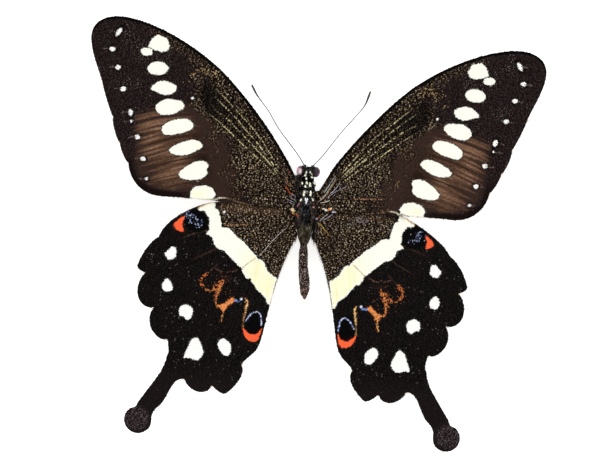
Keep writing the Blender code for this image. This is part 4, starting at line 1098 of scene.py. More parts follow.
def wing_skin(wing, side, rim, veins):
    """The membrane with its veins, as one closed thin mesh that is alike on both faces."""
    rng = np.random.default_rng(7)
    x, y, _ = lattice(rim, SKIN_STEP, rng, 0.1)
    inner = depth_in(x, y, rim) > SKIN_STEP * 0.6
    crests = np.vstack([smooth_line(line, RIM_STEP) for line in veins.values()])
    feet = []
    for line in veins.values():
        along = unit(np.gradient(line, axis=0))
        across = columns(-along[:, 1], along[:, 0]) * VEIN_HALF_WIDTH[1] * 1.3
        feet += [line - across, line + across]
    extra = np.vstack((crests, *feet))
    extra = extra[depth_in(extra[:, 0], extra[:, 1], rim) > 0.2]
    plan = [Vector(p) for p in np.vstack((rim, extra, columns(x, y)[inner]))]
    edges = [(i, (i + 1) % len(rim)) for i in range(len(rim))]
    corners, _, faces = delaunay_2d_cdt(plan, edges, [], 0, 0.08)[:3]
    flat = np.array([tuple(c) for c in corners])
    faces = np.array(faces)
    centres = flat[faces].mean(axis=1)
    faces = faces[depth_in(centres[:, 0], centres[:, 1], rim) > 0]
    used = np.unique(faces)
    renumber = np.zeros(len(flat), int)
    renumber[used] = np.arange(len(used))
    flat, faces = flat[used], renumber[faces]
    level = wing_height(flat[:, 0], flat[:, 1], WINGS[wing]["stack"])
    lift = vein_lift(flat[:, 0], flat[:, 1], veins)
    sign = SIDES[side]
    upper = columns(flat[:, 0] * sign, flat[:, 1], level + MEMBRANE_HALF + lift)
    lower = columns(flat[:, 0] * sign, flat[:, 1], level - MEMBRANE_HALF - lift)
    count = len(flat)
    sides = {(int(a), int(b)) for f in faces for a, b in ((f[0], f[1]), (f[1], f[2]), (f[2], f[0]))}
    walls = [(b, a, a + count, b + count) for a, b in sides if (b, a) not in sides]
    walls = [f for a, b, c, d in walls for f in ((a, b, c), (a, c, d))]
    faces = np.vstack((faces, faces[:, ::-1] + count, walls))
    if sign < 0:
        faces = faces[:, ::-1]
    chance = np.tile(EVEN_CHANCE, (count, 1))
    edge = depth_in(flat[:, 0], flat[:, 1], rim)
    colours = np.vstack([wing_paint(wing, side, flat[:, 0], flat[:, 1], chance, edge, under)
                         for under in (False, True)])
    nodes = [f"{node}_{side}" for node in WINGS[wing]["nodes"]]
    make_piece(f"{wing}_{side}_skin", np.vstack((upper, lower)), faces, "membrane", colours,
               nodes=nodes)


def wing_scales(wing, side, rim, veins, under):
    """The scales of one face of a wing, like roof tiles along the veins."""
    step = UNDER_GRAIN if under else SCALE_GRAIN
    rng = np.random.default_rng(31 + 2 * list(WINGS).index(wing) + under)
    x, y, speck = lattice(rim, step, rng)
    edge = depth_in(x, y, rim)
    kept = edge > 0.05
    x, y, edge, speck = x[kept], y[kept], edge[kept], speck[kept]
    heading = grain(x, y, veins)
    tips = columns(x, y) + heading * 1.7 * step
    kept = (edge > 2 * step) | (depth_in(tips[:, 0], tips[:, 1], rim) > -0.04)
    x, y, edge, speck, heading = x[kept], y[kept], edge[kept], speck[kept], heading[kept]
    count = len(x)
    chance = rng.random((count, 4))
    chance[:, 0] = np.where(speck, 0.86 + 0.14 * chance[:, 0], 0.86 * chance[:, 0])
    heading = swung(heading, rng.normal(0, 0.1, count))
    lengths = step * rng.uniform(1.6, 1.95, count)
    shown = columns(x, y) + heading * (lengths * VISIBLE_SHARE)[:, None]
    colours = wing_paint(wing, side, shown[:, 0], shown[:, 1], chance, edge, under)
    sign, face = SIDES[side], -1 if under else 1
    stack = WINGS[wing]["stack"]
    level = wing_height(x, y, stack) + face * (MEMBRANE_HALF + vein_lift(x, y, veins) + 0.012)
    ahead = wing_height(x + heading[:, 0], y + heading[:, 1], stack) - wing_height(x, y, stack)
    along = unit(columns(heading[:, 0] * sign, heading[:, 1], ahead))
    out = np.tile((0.0, 0.0, float(face)), (count, 1))
    out = unit(out - along * (along * out).sum(axis=1)[:, None])
    roots = columns(x * sign, y, level)
    scale_coat(f"{wing}_{side}_{'under' if under else 'upper'}_scales", "scales", roots, along, out,
               lengths, step * rng.uniform(1.2, 1.5, count), rng.uniform(0.035, 0.07, count), 0.035, colours,
               fitted(columns(x, y), rim))


def wing_fringe(wing, side, rim):
    """Fine fringe of long scales round the outer margin, pale in the notches."""
    rng = np.random.default_rng(51)
    line = smooth_line(rim, 0.09, closed=True)
    following = np.roll(line, -1, axis=0)
    run = unit(following - line)
    outward = columns(run[:, 1], -run[:, 0])
    mark_x, mark_y = marking_place(line[:, 0], line[:, 1], wing, side)
    front = mark_y > 0.62 * mark_x + 4 if wing == "forewing" else mark_y > -0.75 * mark_x + 14.5
    kept = (line[:, 0] > 6) & ~front & (rng.random(len(line)) < 0.9)
    if wing == "hindwing":
        kept &= ~((mark_x < 10) & (mark_y > -22))
    line, outward, mark_x, mark_y = line[kept], outward[kept], mark_x[kept], mark_y[kept]
    count = len(line)
    chance = rng.random((count, 4))
    pale = np.zeros(count)
    for notch in WINGS[wing]["notches"]:
        near = np.hypot(mark_x - notch[0], mark_y - notch[1])
        pale = np.maximum(pale, (near < 0.8) * (chance[:, 2] < 0.75) * 0.9)
    paint = Paint(mark_x, mark_y, chance, (30, 26, 26))
    paint.freckle((96, 88, 84), np.ones(count) * 0.5, 3.0)
    paint.over((232, 206, 160), pale)
    roots_plan = line - outward * (rng.uniform(0.3, 0.5, count) - 0.3 * (pale > 0))[:, None]
    heading = swung(outward, rng.normal(0, 0.18, count))
    sign = SIDES[side]
    level = wing_height(roots_plan[:, 0], roots_plan[:, 1], WINGS[wing]["stack"])
    level = level + rng.uniform(-0.06, 0.06, count)
    roots = columns(roots_plan[:, 0] * sign, roots_plan[:, 1], level)
    along = columns(heading[:, 0] * sign, heading[:, 1], np.zeros(count))
    out = np.tile((0.0, 0.0, 1.0), (count, 1))
    scale_coat(f"{wing}_{side}_fringe", "scales", roots, along, out, rng.uniform(0.35, 0.55, count),
               rng.uniform(0.08, 0.13, count), rng.uniform(-0.02, 0.04, count), 0.02, paint.linear(),
               fitted(roots_plan, rim))


RIMS = {(wing, side): wing_rim(wing, side) for wing in WINGS for side in SIDES}


def top_height(x, y, side):
    """Height of what shows from above at places of one side, x outward: a wing or the body."""
    over_forewing = depth_in(x, y, RIMS["forewing", side]) > 0
    upper, lower = wing_height(x, y, 0.0), wing_height(x, y, WING_STACK)
    level = np.where(over_forewing, upper, lower) + MEMBRANE_HALF + VEIN_HEIGHT[0]
    middle, height, half_width, half_height = station_columns(y)
    bulge = np.sqrt(np.maximum(1 - ((SIDES[side] * x - middle) / half_width) ** 2, 0))
    level = np.where((bulge > 0) & (y < 6.0), np.maximum(level, height + half_height * bulge), level)
    for ball, radii in ((HEAD_MIDDLE, HEAD_RADII), (NECK_MIDDLE, NECK_RADII + HEAD_COAT)):
        inside = 1 - ((SIDES[side] * x - ball[0]) / radii[0]) ** 2 - ((y - ball[1]) / radii[1]) ** 2
        bulge = np.sqrt(np.maximum(inside, 0))
        level = np.where(bulge > 0, np.maximum(level, ball[2] + radii[2] * bulge), level)
    return level


def make_strokes():
    """Threads and bare veins that lie on the wing roots, broken in colour along their length."""
    rng = np.random.default_rng(101)
    shapes, tones, places = [], [], []
    for side, tone, half_width, points in STROKES:
        line = smooth_line(points, 0.12)
        level = top_height(line[:, 0], line[:, 1], side) + 0.1
        line = np.column_stack((line[:, 0] * SIDES[side], line[:, 1], level))
        taper = np.minimum(1, 0.4 + 4 * np.linspace(0, 1, len(line)) * np.linspace(1, 0, len(line)))
        shapes.append(tube(line, half_width * taper * rng.uniform(0.8, 1.2, len(line)), 5))
        shade = rng.uniform(0.45, 1.0, len(line))
        shade = np.concatenate((np.repeat(shade, 5), shade[[0, -1]]))
        tones.append(np.array(tone) * shade[:, None])
        corner = np.concatenate((np.tile(np.arange(5) / 5, len(line)), (0, 0)))
        along = np.concatenate((np.repeat(line[:, :2], 5, axis=0), line[[0, -1], :2]))
        places.append((along + (12, 15)) / 26 + columns(corner, 0 * corner) * PATCH)
    points, faces = joined(shapes)
    paint = paint_on(points, rng, BLACK)
    paint.tones = np.vstack(tones)
    make_piece("wing_root_threads", points, faces, "hair", paint.linear(), np.vstack(places))


def make_flakes_and_glints():
    """Clusters of pale and coloured scales that stand a little above the coat, and a few painted glints on
    the thorax hair.
    """
    rng = np.random.default_rng(89)
    roots, tones = [], []
    for tone, clusters in FLAKES_AND_GLINTS.items():
        for middle_x, middle_y, half_width, half_length, turn in clusters:
            count = round(260 * half_width * half_length) + 5
            angle, reach = rng.uniform(0, 2 * np.pi, count), np.sqrt(rng.random(count))
            across, ahead = half_width * reach * np.cos(angle), half_length * reach * np.sin(angle)
            c, s = math.cos(math.radians(turn)), math.sin(math.radians(turn))
            x, y = middle_x + across * c - ahead * s, middle_y + across * s + ahead * c + 0.12
            side = "left" if middle_x < 0 else "right"
            level = top_height(x * SIDES[side], y, side)
            roots.append(columns(x, y, level - 0.02))
            tones.append(np.array(tone) * rng.uniform(0.88, 1.04, count)[:, None])
    roots, tones = np.concatenate(roots), np.concatenate(tones)
    count = len(roots)
    along = unit(columns(rng.normal(0, 0.3, count), np.full(count, -1.0), rng.normal(0, 0.05, count)))
    out = unit(np.cross(np.cross(along, (0, 0, 1.0)), along) + rng.normal(0, 0.05, (count, 3)))
    paint = paint_on(roots, rng, BLACK)
    paint.tones = tones
    scale_coat("pale_flakes_and_glints", "hair", roots, along, out, rng.uniform(0.22, 0.34, count),
               rng.uniform(0.14, 0.2, count), rng.uniform(0.02, 0.08, count), 0.08, paint.linear(),
               (roots[:, :2] + (7, 7)) / 18)


def make_wing(wing, side):
    rim = RIMS[wing, side]
    veins = vein_lines(wing, side)
    wing_skin(wing, side, rim, veins)
    for under in (False, True):
        wing_scales(wing, side, rim, veins, under)
    wing_fringe(wing, side, rim)


# Body

def body_paint(x, y, upness, chance):
    """Hair and skin colours of the body: black ahead, brown behind, buff below the abdomen."""
    paint = Paint(x, y, chance, (6, 5, 5))
    # Pale flecks over the black hair: partly pale hairs, partly painted highlights, the glints of the glossy
    # hair.
    paint.freckle((206, 204, 206), np.ones(len(x)), 7.0)
    beside = step_up(np.abs(x + 0.3), 0.95, 1.3) * step_up(y, -5.5, -4.0) * (1 - step_up(y, 0.2, 1.2))
    paint.over((32, 24, 20), 0.9 * beside)
    paint.freckle((214, 198, 184), beside, 4.0)
    paint.sprinkle((150, 112, 126), 0.04 * beside, 0.8)
    cone = step_up(-y, 3.6, 5.5) * (1 - step_up(-y, 8.6, 9.4))
    paint.over((42, 33, 27), 0.9 * cone)
    paint.freckle((196, 182, 152), cone, 3.4)
    abdomen = step_up(-y, 8.8, 9.6)
    paint.over((24, 16, 13), abdomen * 0.95)
    paint.freckle((236, 212, 202), abdomen, 3.5)
    tip = step_up(-y, 17.5, 20.0)
    paint.over((150, 106, 88), 0.6 * tip * chance[:, 2])
    segment = np.cos((y - ABDOMEN_FRONT) / (ABDOMEN_BACK - ABDOMEN_FRONT) * ABDOMEN_SEGMENTS * 2 * np.pi)
    paint.over((20, 15, 13), 0.6 * abdomen * step_up(segment, 0.7, 1.0))
    below = step_up(-upness, 0.25, 0.6)
    paint.over((158, 140, 104), below * abdomen * 0.75)
    paint.over((92, 80, 66), below * (1 - abdomen) * 0.4)
    return paint


def body_surface(y, turn, lower=0.0):
    """Points of the body's skin at y and a turn from straight up, or lower under it."""
    middle, level, half_width, half_height = station_columns(y)
    depth = np.interp(y, *COAT_DEPTHS) + lower
    segment = (y - ABDOMEN_FRONT) / (ABDOMEN_BACK - ABDOMEN_FRONT) * ABDOMEN_SEGMENTS
    groove = 1 - 0.07 * (y < ABDOMEN_FRONT) * np.cos(np.pi * segment) ** 16
    half_width = np.maximum(half_width - depth, 0.3 * half_width) * groove
    half_height = np.maximum(half_height - depth, 0.3 * half_height) * groove
    return columns(middle + half_width * np.sin(turn), y, level + half_height * np.cos(turn))


def head_surface(aim, depth):
    """Points of the head along each aim, and the way out there."""
    radii = HEAD_RADII - depth
    return HEAD_MIDDLE + aim * radii, unit(aim / radii)


def head_root(direction, side):
    """A point a gap off the head's solid and the way out there."""
    aim = unit(np.array((SIDES[side] * direction[0], direction[1], direction[2])))
    surface, out = head_surface(aim[None], 0.0)
    return surface[0] + out[0] * GAP, out[0]


def eye_middle(sign):
    return HEAD_MIDDLE + np.array(EYE_OFFSET) * (sign, 1, 1)


def palp_line(side):
    root, out = head_root(PALP_DIRECTION, side)
    middle = root + (out * 0.2 + np.array((0.0, 1.0, 0.1)) * 0.25) * PALP_LENGTH
    tip = middle + (np.array((0.0, 1.0, 0.1)) * 0.06 + np.array((0.0, 0.35, 1.0)) * 0.4) * PALP_LENGTH
    return smooth_line((root - out * 0.6, root, middle, tip), 0.15)


def make_body_skin():
    """One skin over head, collar, thorax, abdomen and palps, fused from their forms."""
    ys = np.concatenate((np.arange(5.85, -21.5, -0.16), [-21.66]))
    turns = 2 * np.pi * np.arange(BODY_SIDES) / BODY_SIDES
    rings = [body_surface(np.full(BODY_SIDES, y), turns) for y in ys]
    shapes = [ringed(rings, rings[0].mean(axis=0), rings[-1].mean(axis=0))]
    for side in SIDES:
        line = palp_line(side)
        shapes.append(tube(line, spread((0.3, 0.24, 0.22, 0.17, 0.1), len(line)), 12))
    aims, ball_faces = ball_shape(4)
    shapes.append((head_surface(aims, HEAD_COAT)[0], ball_faces))
    shapes.append((aims * NECK_RADII + NECK_MIDDLE, ball_faces))
    points, faces = joined(shapes)
    mesh = bpy.data.meshes.new("body_form")
    mesh.from_pydata((points * MM).tolist(), [], faces.tolist())
    form = put("body_form", mesh)
    remesh = form.modifiers.new("fuse", "REMESH")
    remesh.mode = "VOXEL"
    remesh.voxel_size = BODY_VOXEL * MM
    ease = form.modifiers.new("ease", "SMOOTH")
    ease.iterations = 4
    graph = bpy.context.evaluated_depsgraph_get()
    fused = bpy.data.meshes.new_from_object(form.evaluated_get(graph))
    bpy.data.objects.remove(form, do_unlink=True)
    places = np.array([v.co for v in fused.vertices]) / MM
    outs = np.array([v.normal for v in fused.vertices])
    chance = np.tile(EVEN_CHANCE, (len(places), 1))
    colours = body_paint(places[:, 0], places[:, 1], outs[:, 2], chance).linear()
    faces = [tuple(p.vertices) for p in fused.polygons]
    make_piece("body_skin", places, faces, "skin", colours,
               nodes=("head", "collar", "thorax", "abdomen", "palp_left", "palp_right"))


def hair(name, roots, along, out, lengths, radii, paint, places, arch=0.12, droop=0.06):
    """One coat piece of locks, with colours and an unwrap by the roots' places."""
    out = unit(out)
    along = unit(along - out * (along * out).sum(axis=1)[:, None])
    points, faces = locks(roots, along, out, lengths, radii, arch, droop)
    make_piece(name, points, faces, "hair", np.repeat(paint.linear(), LOCK_POINTS, axis=0),
               patches(places, LOCK_UNWRAP))


def turned(along, out, angles):
    """The ways along a surface turned about the ways out of it."""
    side = np.cross(out, along)
    return along * np.cos(angles)[:, None] + side * np.sin(angles)[:, None]


def body_ways(y, turn):
    """Places just under the body's skin with the ways back along it and out of it."""
    roots = body_surface(y, turn, 0.02)
    along = unit(body_surface(y - 0.2, turn, 0.02) - roots)
    around = unit(body_surface(y, turn + 0.05, 0.02) - roots)
    out = unit(np.cross(along, around))
    outward = (out * (roots - body_surface(y, turn + np.pi, 0.02))).sum(axis=1)
    return roots, along, out * np.sign(outward)[:, None]


def combed(rng, count, front, back, stray):
    """Random places on the body's skin, denser where it is wider, with the ways back along it and out."""
    y = rng.uniform(back, front, count)
    girth = station_columns(y)[2] + station_columns(y)[3]
    y = y[rng.random(count) < girth / girth.max()]
    turn = rng.uniform(-np.pi, np.pi, len(y))
    roots, along, out = body_ways(y, turn)
    return y, turn, roots, turned(along, out, rng.normal(0, stray, len(y))), out


def body_hair(name, count, front, back, length, radius, arch, seed):
    """Hair of one stretch of the body, combed back."""
    rng = np.random.default_rng(seed)
    y, turn, roots, along, out = combed(rng, count * 2, front, back, 0.3)
    chance = rng.random((len(y), 4))
    lengths = rng.uniform(*length, len(y))
    shown = roots + along * (0.5 * lengths)[:, None]
    paint = body_paint(shown[:, 0], shown[:, 1], out[:, 2], chance)
    places = columns(turn / (2 * np.pi) + 0.5, (front - y) / (front - back)) * 0.99
    hair(name, roots, along, out, lengths, rng.uniform(*radius, len(y)), paint, places, arch, arch * 0.9)


def head_hair():
    rng = np.random.default_rng(81)
    aims = unit(rng.normal(0, 1, (9000, 3)))
    aims = aims[aims[:, 1] > -0.75]
    roots, out = head_surface(aims, HEAD_COAT + 0.02)
    clear = np.ones(len(aims), bool)
    for sign in SIDES.values():
        clear &= (((roots - eye_middle(sign)) / (np.array(EYE_RADII) + 0.05)) ** 2).sum(axis=1) > 1
    roots, out = roots[clear], out[clear]
    along = np.tile((0.0, -1.0, 0.25), (len(roots), 1)) + rng.normal(0, 0.35, (len(roots), 3))
    front = out[:, 1] > 0.55
    along[front] += out[front] * 0.9 + (0, 1.1, 0.6)
    chance = rng.random((len(roots), 4))
    paint = body_paint(roots[:, 0], roots[:, 1] - 0.15, out[:, 2], chance)
    places = columns(np.arctan2(out[:, 0], out[:, 2]) / (2 * np.pi) + 0.5,
                     np.arccos(np.clip(out[:, 1], -1, 1)) / np.pi) * 0.99
    hair("head_hair", roots, along, out, rng.uniform(0.35, 0.7, len(roots)),
         rng.uniform(0.025, 0.045, len(roots)), paint, places, 0.3, 0.35)


def palp_hair():
    rng = np.random.default_rng(83)
    shapes = []
    for index, side in enumerate(SIDES):
        line = palp_line(side)
        count = 700
        share = rng.uniform(0.25, 0.88, count)
        place = np.array([spread(line[:, k], 200) for k in range(3)]).T[(share * 199).astype(int)]
        heading = unit(np.gradient(line, axis=0))
        heading = heading[(share * (len(line) - 1)).astype(int)]
        out = unit(np.cross(heading, rng.normal(0, 1, (count, 3))))
        shapes.append((place + out * 0.14, heading, out, share, np.full(count, index * 0.5)))
    roots, along, out, share, start = (np.concatenate(c) for c in zip(*shapes))
    paint = paint_on(roots, rng, (34, 30, 28))
    paint.over((214, 204, 176), 0.8 * (out[:, 2] < -0.1))
    places = columns(start + share * 0.45, np.arctan2(out[:, 0], out[:, 2]) / (2 * np.pi) + 0.5) * 0.99
    hair("palp_hair", roots, along, out, rng.uniform(0.22, 0.4, len(roots)),
         rng.uniform(0.02, 0.032, len(roots)), paint, places, 0.25, 0.3)


def shoulder_hair():
    """Long hair over the wing roots and down the inner edges of the hindwings."""
    rng = np.random.default_rng(85)
    rows = []
    for sign in SIDES.values():
        count = 800
        y = rng.uniform(-5.2, 3.4, count)
        middle, _, half_width, _ = station_columns(y)
        x = sign * middle + half_width - 0.6 + rng.uniform(0, 0.45, count)
        z = np.where(y > -1.5, WING_ROOT_HEIGHT, WING_ROOT_HEIGHT - WING_STACK * 0.6)
        z = z + rng.uniform(0.0, 0.4, count)
        swing = rng.normal(0, 0.25, count)
        heading = columns(sign * (0.25 + 0.4 * swing), np.full(count, -1.0) + swing,
                          rng.uniform(-0.1, 0.1, count))
        rows.append((columns(sign * x, y, z), heading, rng.uniform(0.5, 1.2, count)))
    # A tuft that lies forward from the left shoulder, between the wing and the head
    count = 1500
    tuft = columns(rng.uniform(-3.3, -1.9, count), rng.uniform(3.0, 6.0, count),
                   rng.uniform(9.4, 10.7, count))
    tuft[:, 0] -= 0.2 * (tuft[:, 1] < 4.0)
    heading = columns(rng.normal(-0.1, 0.2, count), np.ones(count), rng.normal(0.0, 0.12, count))
    rows.append((tuft, heading, rng.uniform(0.8, 1.3, count)))
    roots, along, lengths = (np.concatenate(c) for c in zip(*rows))
    out = np.tile((0.0, 0.0, 1.0), (len(roots), 1))
    paint = paint_on(roots, rng, (12, 10, 9))
    paint.freckle((150, 140, 130), np.ones(len(roots)), 5.0)
    places = fitted(roots[:, :2], roots[:, :2]) * 0.99
    hair("shoulder_hair", roots, along, out, lengths, rng.uniform(0.025, 0.045, len(roots)), paint, places,
         0.08, 0.0)


def margin_hair():
    """Ragged fine hair along the hindwings' inner margins, near the body."""
    rng = np.random.default_rng(87)
    rows = []
    for side, sign in SIDES.items():
        line = smooth_line(RIMS["hindwing", side], 0.04, closed=True)
        run = unit(np.roll(line, -1, axis=0) - line)
        outward = columns(run[:, 1], -run[:, 0])
        kept = (line[:, 1] < -7.0) & (line[:, 1] > -23) & (line[:, 0] < 9) & (rng.random(len(line)) < 0.75)
        line, outward = line[kept], outward[kept]
        down = columns(np.full(len(line), 0.1), np.full(len(line), -1.0))
        heading = outward * rng.uniform(0.1, 0.5, len(line))[:, None] + down
        level = wing_height(line[:, 0], line[:, 1], WING_STACK)
        roots = columns((line[:, 0] + 0.15) * sign, line[:, 1], level)
        along = columns(heading[:, 0] * sign, heading[:, 1], rng.uniform(-0.1, 0.1, len(line)))
        rows.append((roots, along, rng.uniform(0.5, 1.5, len(line))))
    roots, along, lengths = (np.concatenate(c) for c in zip(*rows))
    out = np.tile((0.0, 0.0, 1.0), (len(roots), 1))
    paint = paint_on(roots, rng, (52, 43, 36))
    paint.freckle((150, 134, 116), np.ones(len(roots)), 2.0)
    paint.over((226, 216, 178), 0.7 * step_up(-roots[:, 1], 17.0, 18.0))
    places = fitted(roots[:, :2], roots[:, :2]) * 0.99
    hair("margin_hair", roots, along, out, lengths, rng.uniform(0.015, 0.03, len(roots)), paint, places,
         0.05, 0.0)


def abdomen_scales():
    """Rough overlapping scales of the abdomen, combed back."""
    rng = np.random.default_rng(95)
    y, turn, roots, along, out = combed(rng, 5200, -8.9, -21.3, 0.25)
    paint = body_paint(roots[:, 0], roots[:, 1] - 0.2, out[:, 2], rng.random((len(y), 4)))
    places = columns(turn / (2 * np.pi) + 0.5, (-8.9 - y) / 12.5) * 0.99
    scale_coat("abdomen_scales", "hair", roots, along, out, rng.uniform(0.3, 0.5, len(y)),
               rng.uniform(0.16, 0.28, len(y)), rng.uniform(0.08, 0.2, len(y)), 0.05, paint.linear(), places)


def brow_hair():
    """Dark hair that leans from the crown and the face over the inner rims of the eyes."""
    rng = np.random.default_rng(97)
    rows = []
    for sign in SIDES.values():
        count = 700
        turn = rng.uniform(-0.35 * np.pi, 0.62 * np.pi, count)
        roots = HEAD_MIDDLE + columns(sign * rng.uniform(0.55, 1.0, count),
                                      EYE_OFFSET[1] + 1.14 * np.sin(turn - 0.2),
                                      EYE_OFFSET[2] + 1.2 * np.cos(turn - 0.2))
        out = unit(columns(np.zeros(count), np.sin(turn - 0.2), np.cos(turn - 0.2)))
        along = columns(np.full(count, sign * 1.0), rng.normal(-0.3, 0.4, count),
                        rng.normal(0.05, 0.2, count))
        rows.append((roots, along, out))
    roots, along, out = (np.concatenate(c) for c in zip(*rows))
    count = len(roots)
    paint = paint_on(roots, rng, (14, 12, 12))
    paint.freckle((120, 114, 110), np.ones(count), 4.0)
    places = columns(np.arctan2(out[:, 1], out[:, 2]) / (2 * np.pi) + 0.5, roots[:, 0] / 8 + 0.5) * 0.99
    hair("brow_hair", roots, along, out, rng.uniform(0.35, 0.75, count), rng.uniform(0.03, 0.045, count),
         paint, places, 0.22, 0.16)


def make_body():
    make_body_skin()
    body_hair("thorax_front_hair", 6000, 5.6, 0.0, (0.35, 0.6), (0.03, 0.045), 0.16, 71)
    body_hair("thorax_back_hair", 6000, 0.0, -8.7, (0.7, 1.4), (0.03, 0.05), 0.14, 72)
    abdomen_scales()
    head_hair()
    brow_hair()
    palp_hair()
    shoulder_hair()
    margin_hair()


# Head parts

def make_eye(side):
    aims, faces = ball_shape(5)
    places = eye_middle(SIDES[side]) + aims * EYE_RADII
    paint = Paint(places[:, 0], places[:, 1], np.full((len(places), 4), 0.5), (74, 46, 58))
    if side == "left":
        # The left eye's pale pinkish patch and its whitish streak are a painted highlight, the gloss of the
        # eye towards the light.
        paint.over((206, 172, 184), step_up(paint.oval((-2.6, 7.7), (0.85, 1.05), 20), -0.1, 0.4))
        paint.over((250, 232, 240), step_up(paint.oval((-2.35, 7.65), (0.22, 0.55), -30), -0.12, 0.1))
    else:
        # Painted shade: the right eye's inner side darker and bluish.
        paint.over((40, 40, 58), step_up(paint.oval((0.8, 8.0), (0.6, 0.7), 20), -0.2, 0.4))
        # Painted highlight: a paler rim on the right eye's outer, rear and upper side.
        paint.over((150, 110, 122), step_up(aims @ unit(np.array((0.8, -0.5, 0.25))), 0.72, 0.95))
    make_piece(f"eye_{side}_facets", places, faces, "eye", paint.linear(), nodes=(f"eye_{side}",))


def make_antenna(side):
    """A jointed shaft of about fifty short rings that thickens into a slender club."""
    root, out = head_root(ANTENNA_ROOT_DIRECTION, side)
    first = root + out * SCAPE_LENGTH
    route = [first]
    for i, (x, y) in enumerate(ANTENNA_ROUTES[side], 1):
        rise = ANTENNA_TIP_RISE * i / len(ANTENNA_ROUTES[side])
        route.append(np.array((SIDES[side] * x, y, first[2] + rise)))
    line = np.vstack((root - out * 0.5, smooth_line(route, 0.12)))
    share = np.linspace(0, 1, len(line))
    shaft = np.interp(share, (0, 0.02, 0.05, 0.75, 0.85, 0.94, 0.99, 1),
                      (0.14, 0.13, 0.1, 0.1, 0.15, 0.26, 0.22, 0.08))
    rings = 1 + 0.12 * np.abs(np.sin(share * math.pi * 46))
    points, faces = tube(line, shaft * rings, 10)
    make_piece(f"antenna_{side}_rings", points, faces, "horn", nodes=(f"antenna_{side}",))


def make_tongue():
    """The ringed tongue, coiled like a watch spring under the head."""
    root, _ = head_root(TONGUE_ROOT_DIRECTION, "right")
    turns = np.linspace(0, TONGUE_TURNS, round(TONGUE_TURNS * 60))
    reach = TONGUE_OUTER - TONGUE_PITCH * turns - TONGUE_RADIUS
    angle = math.radians(TONGUE_START_ANGLE) - 2 * np.pi * turns
    coil = TONGUE_MIDDLE + columns(np.zeros(len(turns)), reach * np.cos(angle), reach * np.sin(angle))
    line = np.vstack((smooth_line((root + (0, 0, 0.5), root, coil[0]), 0.1)[:-1], coil))
    share = np.linspace(0, 1, len(line))
    radii = np.interp(share, (0, 1), (0.24, 0.13)) * (1 + 0.07 * np.sin(share * 2 * math.pi * 58))
    points, faces = tube(line, radii, 12)
    make_piece("tongue_coil", points, faces, "horn", nodes=("proboscis",))


# Legs

def leg_joints(side, name):
    """Root, hip, knee, ankle, foot and toe of one leg, and the way it heads."""
    root_y, heading, femur, tibia, tarsus = LEGS[name]
    sign = SIDES[side]
    middle, level, half_width, half_height = (float(v) for v in station_columns(root_y))
    round_by = math.radians(LEG_ROOT_ANGLE)
    surface = np.array((middle + sign * half_width * math.sin(round_by), root_y,
                        level - half_height * math.cos(round_by)))
    out = unit(np.array((sign * math.sin(round_by) / half_width, 0.0, -math.cos(round_by) / half_height)))
    turn = math.radians(heading)
    ahead = np.array((sign * math.cos(turn), math.sin(turn), 0.0))
    rise = math.radians(FEMUR_RISE)
    root = surface + out * GAP
    hip = root + out * COXA_LENGTH
    knee = hip + (ahead * math.cos(rise) + np.array((0.0, 0.0, math.sin(rise)))) * femur
    reach = math.sqrt(tibia**2 - (knee[2] - ANKLE_HEIGHT) ** 2)
    ankle = np.array((knee[0], knee[1], ANKLE_HEIGHT)) + ahead * reach
    foot = np.array((ankle[0], ankle[1], 0.17)) + ahead * tarsus * 0.3
    toe = np.array((foot[0], foot[1], 0.13)) + ahead * tarsus * 0.7
    return surface - out * 0.6, hip, knee, ankle, foot, toe, ahead


def spike(start, way, length, radius, bend=(0, 0, 0)):
    """A short tapering spine or claw."""
    line = [np.asarray(start) + unit(np.asarray(way)) * length * t + np.asarray(bend) * length * t * t
            for t in (0.0, 0.35, 0.7, 1.0)]
    return tube(line, np.array((1.0, 0.75, 0.45, 0.08)) * radius, 6)


def make_leg(side, name):
    """One leg: coxa, femur, tibia with its spurs, and a tarsus of five joints with two claws."""
    rng = np.random.default_rng(91)
    root, hip, knee, ankle, foot, toe, ahead = leg_joints(side, name)
    across = np.array((-ahead[1], ahead[0], 0.0))
    shapes = []
    thigh = smooth_line((root, hip, hip + (knee - hip) * 0.35, hip + (knee - hip) * 0.7, knee), 0.25)
    shapes.append(tube(thigh, spread((0.55, 0.45, 0.36, 0.42, 0.38, 0.3, 0.24), len(thigh)), 12))
    shin = smooth_line((knee - (ankle - knee) * 0.01, knee + (ankle - knee) * 0.5, ankle), 0.25)
    shapes.append(tube(shin, spread((0.25, 0.23, 0.2, 0.19, 0.22), len(shin)), 10))
    sole = smooth_line((ankle, foot, foot + (toe - foot) * 0.5, toe), 0.1)
    share = np.linspace(0, 1, len(sole))
    beads = 0.14 + 0.045 * np.abs(np.sin(share * math.pi * 5)) ** 0.6
    shapes.append(tube(sole, beads * (1 - 0.15 * share), 10))
    for way in (-1, 1):
        shapes.append(spike(ankle + (0, 0, 0.1), ahead * 0.9 + across * way * 0.5 + (0, 0, -0.25), 1.0,
                            0.08))
        shapes.append(spike(toe, ahead + across * way * 0.7 + (0, 0, 0.3), 0.5, 0.07, (0, 0, -0.45)))
    for i in range(16):
        place = knee + (ankle - knee) * (0.2 + 0.75 * i / 16)
        way = across * (1 if i % 2 else -1) + (ankle - knee) / 8 + (0, 0, rng.uniform(-0.3, 0.1))
        shapes.append(spike(place, way, 0.5, 0.035))
    points, faces = joined(shapes)
    points[:, 2] = np.maximum(points[:, 2], 0.0)
    make_piece(f"leg_{name}_{side}_joints", points, faces, "horn", nodes=(f"leg_{name}_{side}",))


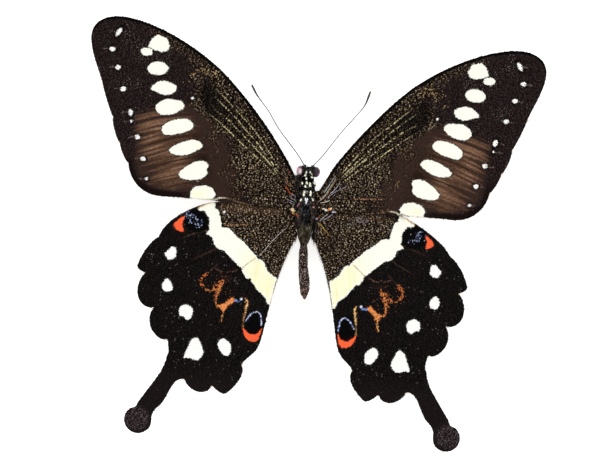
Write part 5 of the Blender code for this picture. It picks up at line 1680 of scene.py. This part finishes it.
def leg_hair():
    """Short hair and scales on coxae, thighs and shins."""
    rng = np.random.default_rng(93)
    rows = []
    for index, (side, name) in enumerate((side, name) for side in SIDES for name in LEGS):
        root, hip, knee, ankle = leg_joints(side, name)[:4]
        for start, end, count, radius, length, part in ((root, hip, 260, 0.45, (0.5, 0.9), 0),
                                                       (hip, knee, 520, 0.34, (0.35, 0.7), 1),
                                                       (knee, ankle, 300, 0.19, (0.2, 0.4), 2)):
            share = rng.random(count)
            heading = np.tile(unit(end - start), (count, 1))
            out = unit(np.cross(heading, rng.normal(0, 1, (count, 3))))
            roots = start + (end - start) * share[:, None] + out * radius * 0.9
            places = columns((index + share * 0.9) / 6, (part + rng.random(count) * 0.9) / 3) * 0.99
            rows.append((roots, heading, out, rng.uniform(*length, count), places))
    roots, along, out, lengths, places = (np.concatenate(c) for c in zip(*rows))
    paint = paint_on(roots, rng, (34, 29, 26))
    paint.freckle((160, 148, 124), np.ones(len(roots)), 2.6)
    hair("leg_hair", roots, along, out, lengths, rng.uniform(0.02, 0.035, len(roots)), paint, places, 0.14,
         0.16)


# Floor, camera and light

def make_floor():
    mesh = bpy.data.meshes.new("floor")
    mesh.from_pydata([(x, y, -0.0001) for x, y in ((-3, -3), (3, -3), (3, 3), (-3, 3))], [], [(0, 1, 2, 3)])
    mesh.materials.append(FINISHES["floor"])
    floor = put("floor", mesh)


def make_camera():
    """A long lens straight above, turned so that the butterfly leans in the frame as in the photo."""
    data = bpy.data.cameras.new("camera")
    data.lens = LENS
    data.sensor_width = SENSOR
    data.clip_start = 0.01
    data.clip_end = 10
    camera = put("camera", data)
    width = PHOTO_PIXELS[0] * PHOTO_MM_PER_PIXEL
    above = width * LENS / SENSOR
    camera.location = Vector(ORIGIN + np.array((*PHOTO_CENTRE, WING_LEVEL + above)) * MM)
    camera.rotation_euler = (0, 0, math.radians(PHOTO_TURN))
    bpy.context.scene.camera = camera


def make_light():
    world = bpy.data.worlds.new("studio")
    world.use_nodes = True
    background = world.node_tree.nodes["Background"]
    background.inputs["Color"].default_value = (1, 1, 1, 1)
    background.inputs["Strength"].default_value = SKY_STRENGTH
    bpy.context.scene.world = world
    for name, (place, size, power) in LAMPS.items():
        data = bpy.data.lights.new(name, "AREA")
        data.size = size
        data.energy = power
        light = put(name, data)
        light.matrix_world = Matrix.Translation(place) @ (
            Vector(place).to_track_quat("Z", "Y").to_matrix().to_4x4())
    bpy.context.scene.view_settings.view_transform = "Standard"


make_camera()
make_floor()
make_light()
for wing in WINGS:
    for side in SIDES:
        make_wing(wing, side)
make_body()
make_flakes_and_glints()
make_strokes()
make_tongue()
leg_hair()
for side in SIDES:
    make_eye(side)
    make_antenna(side)
    for name in LEGS:
        make_leg(side, name)
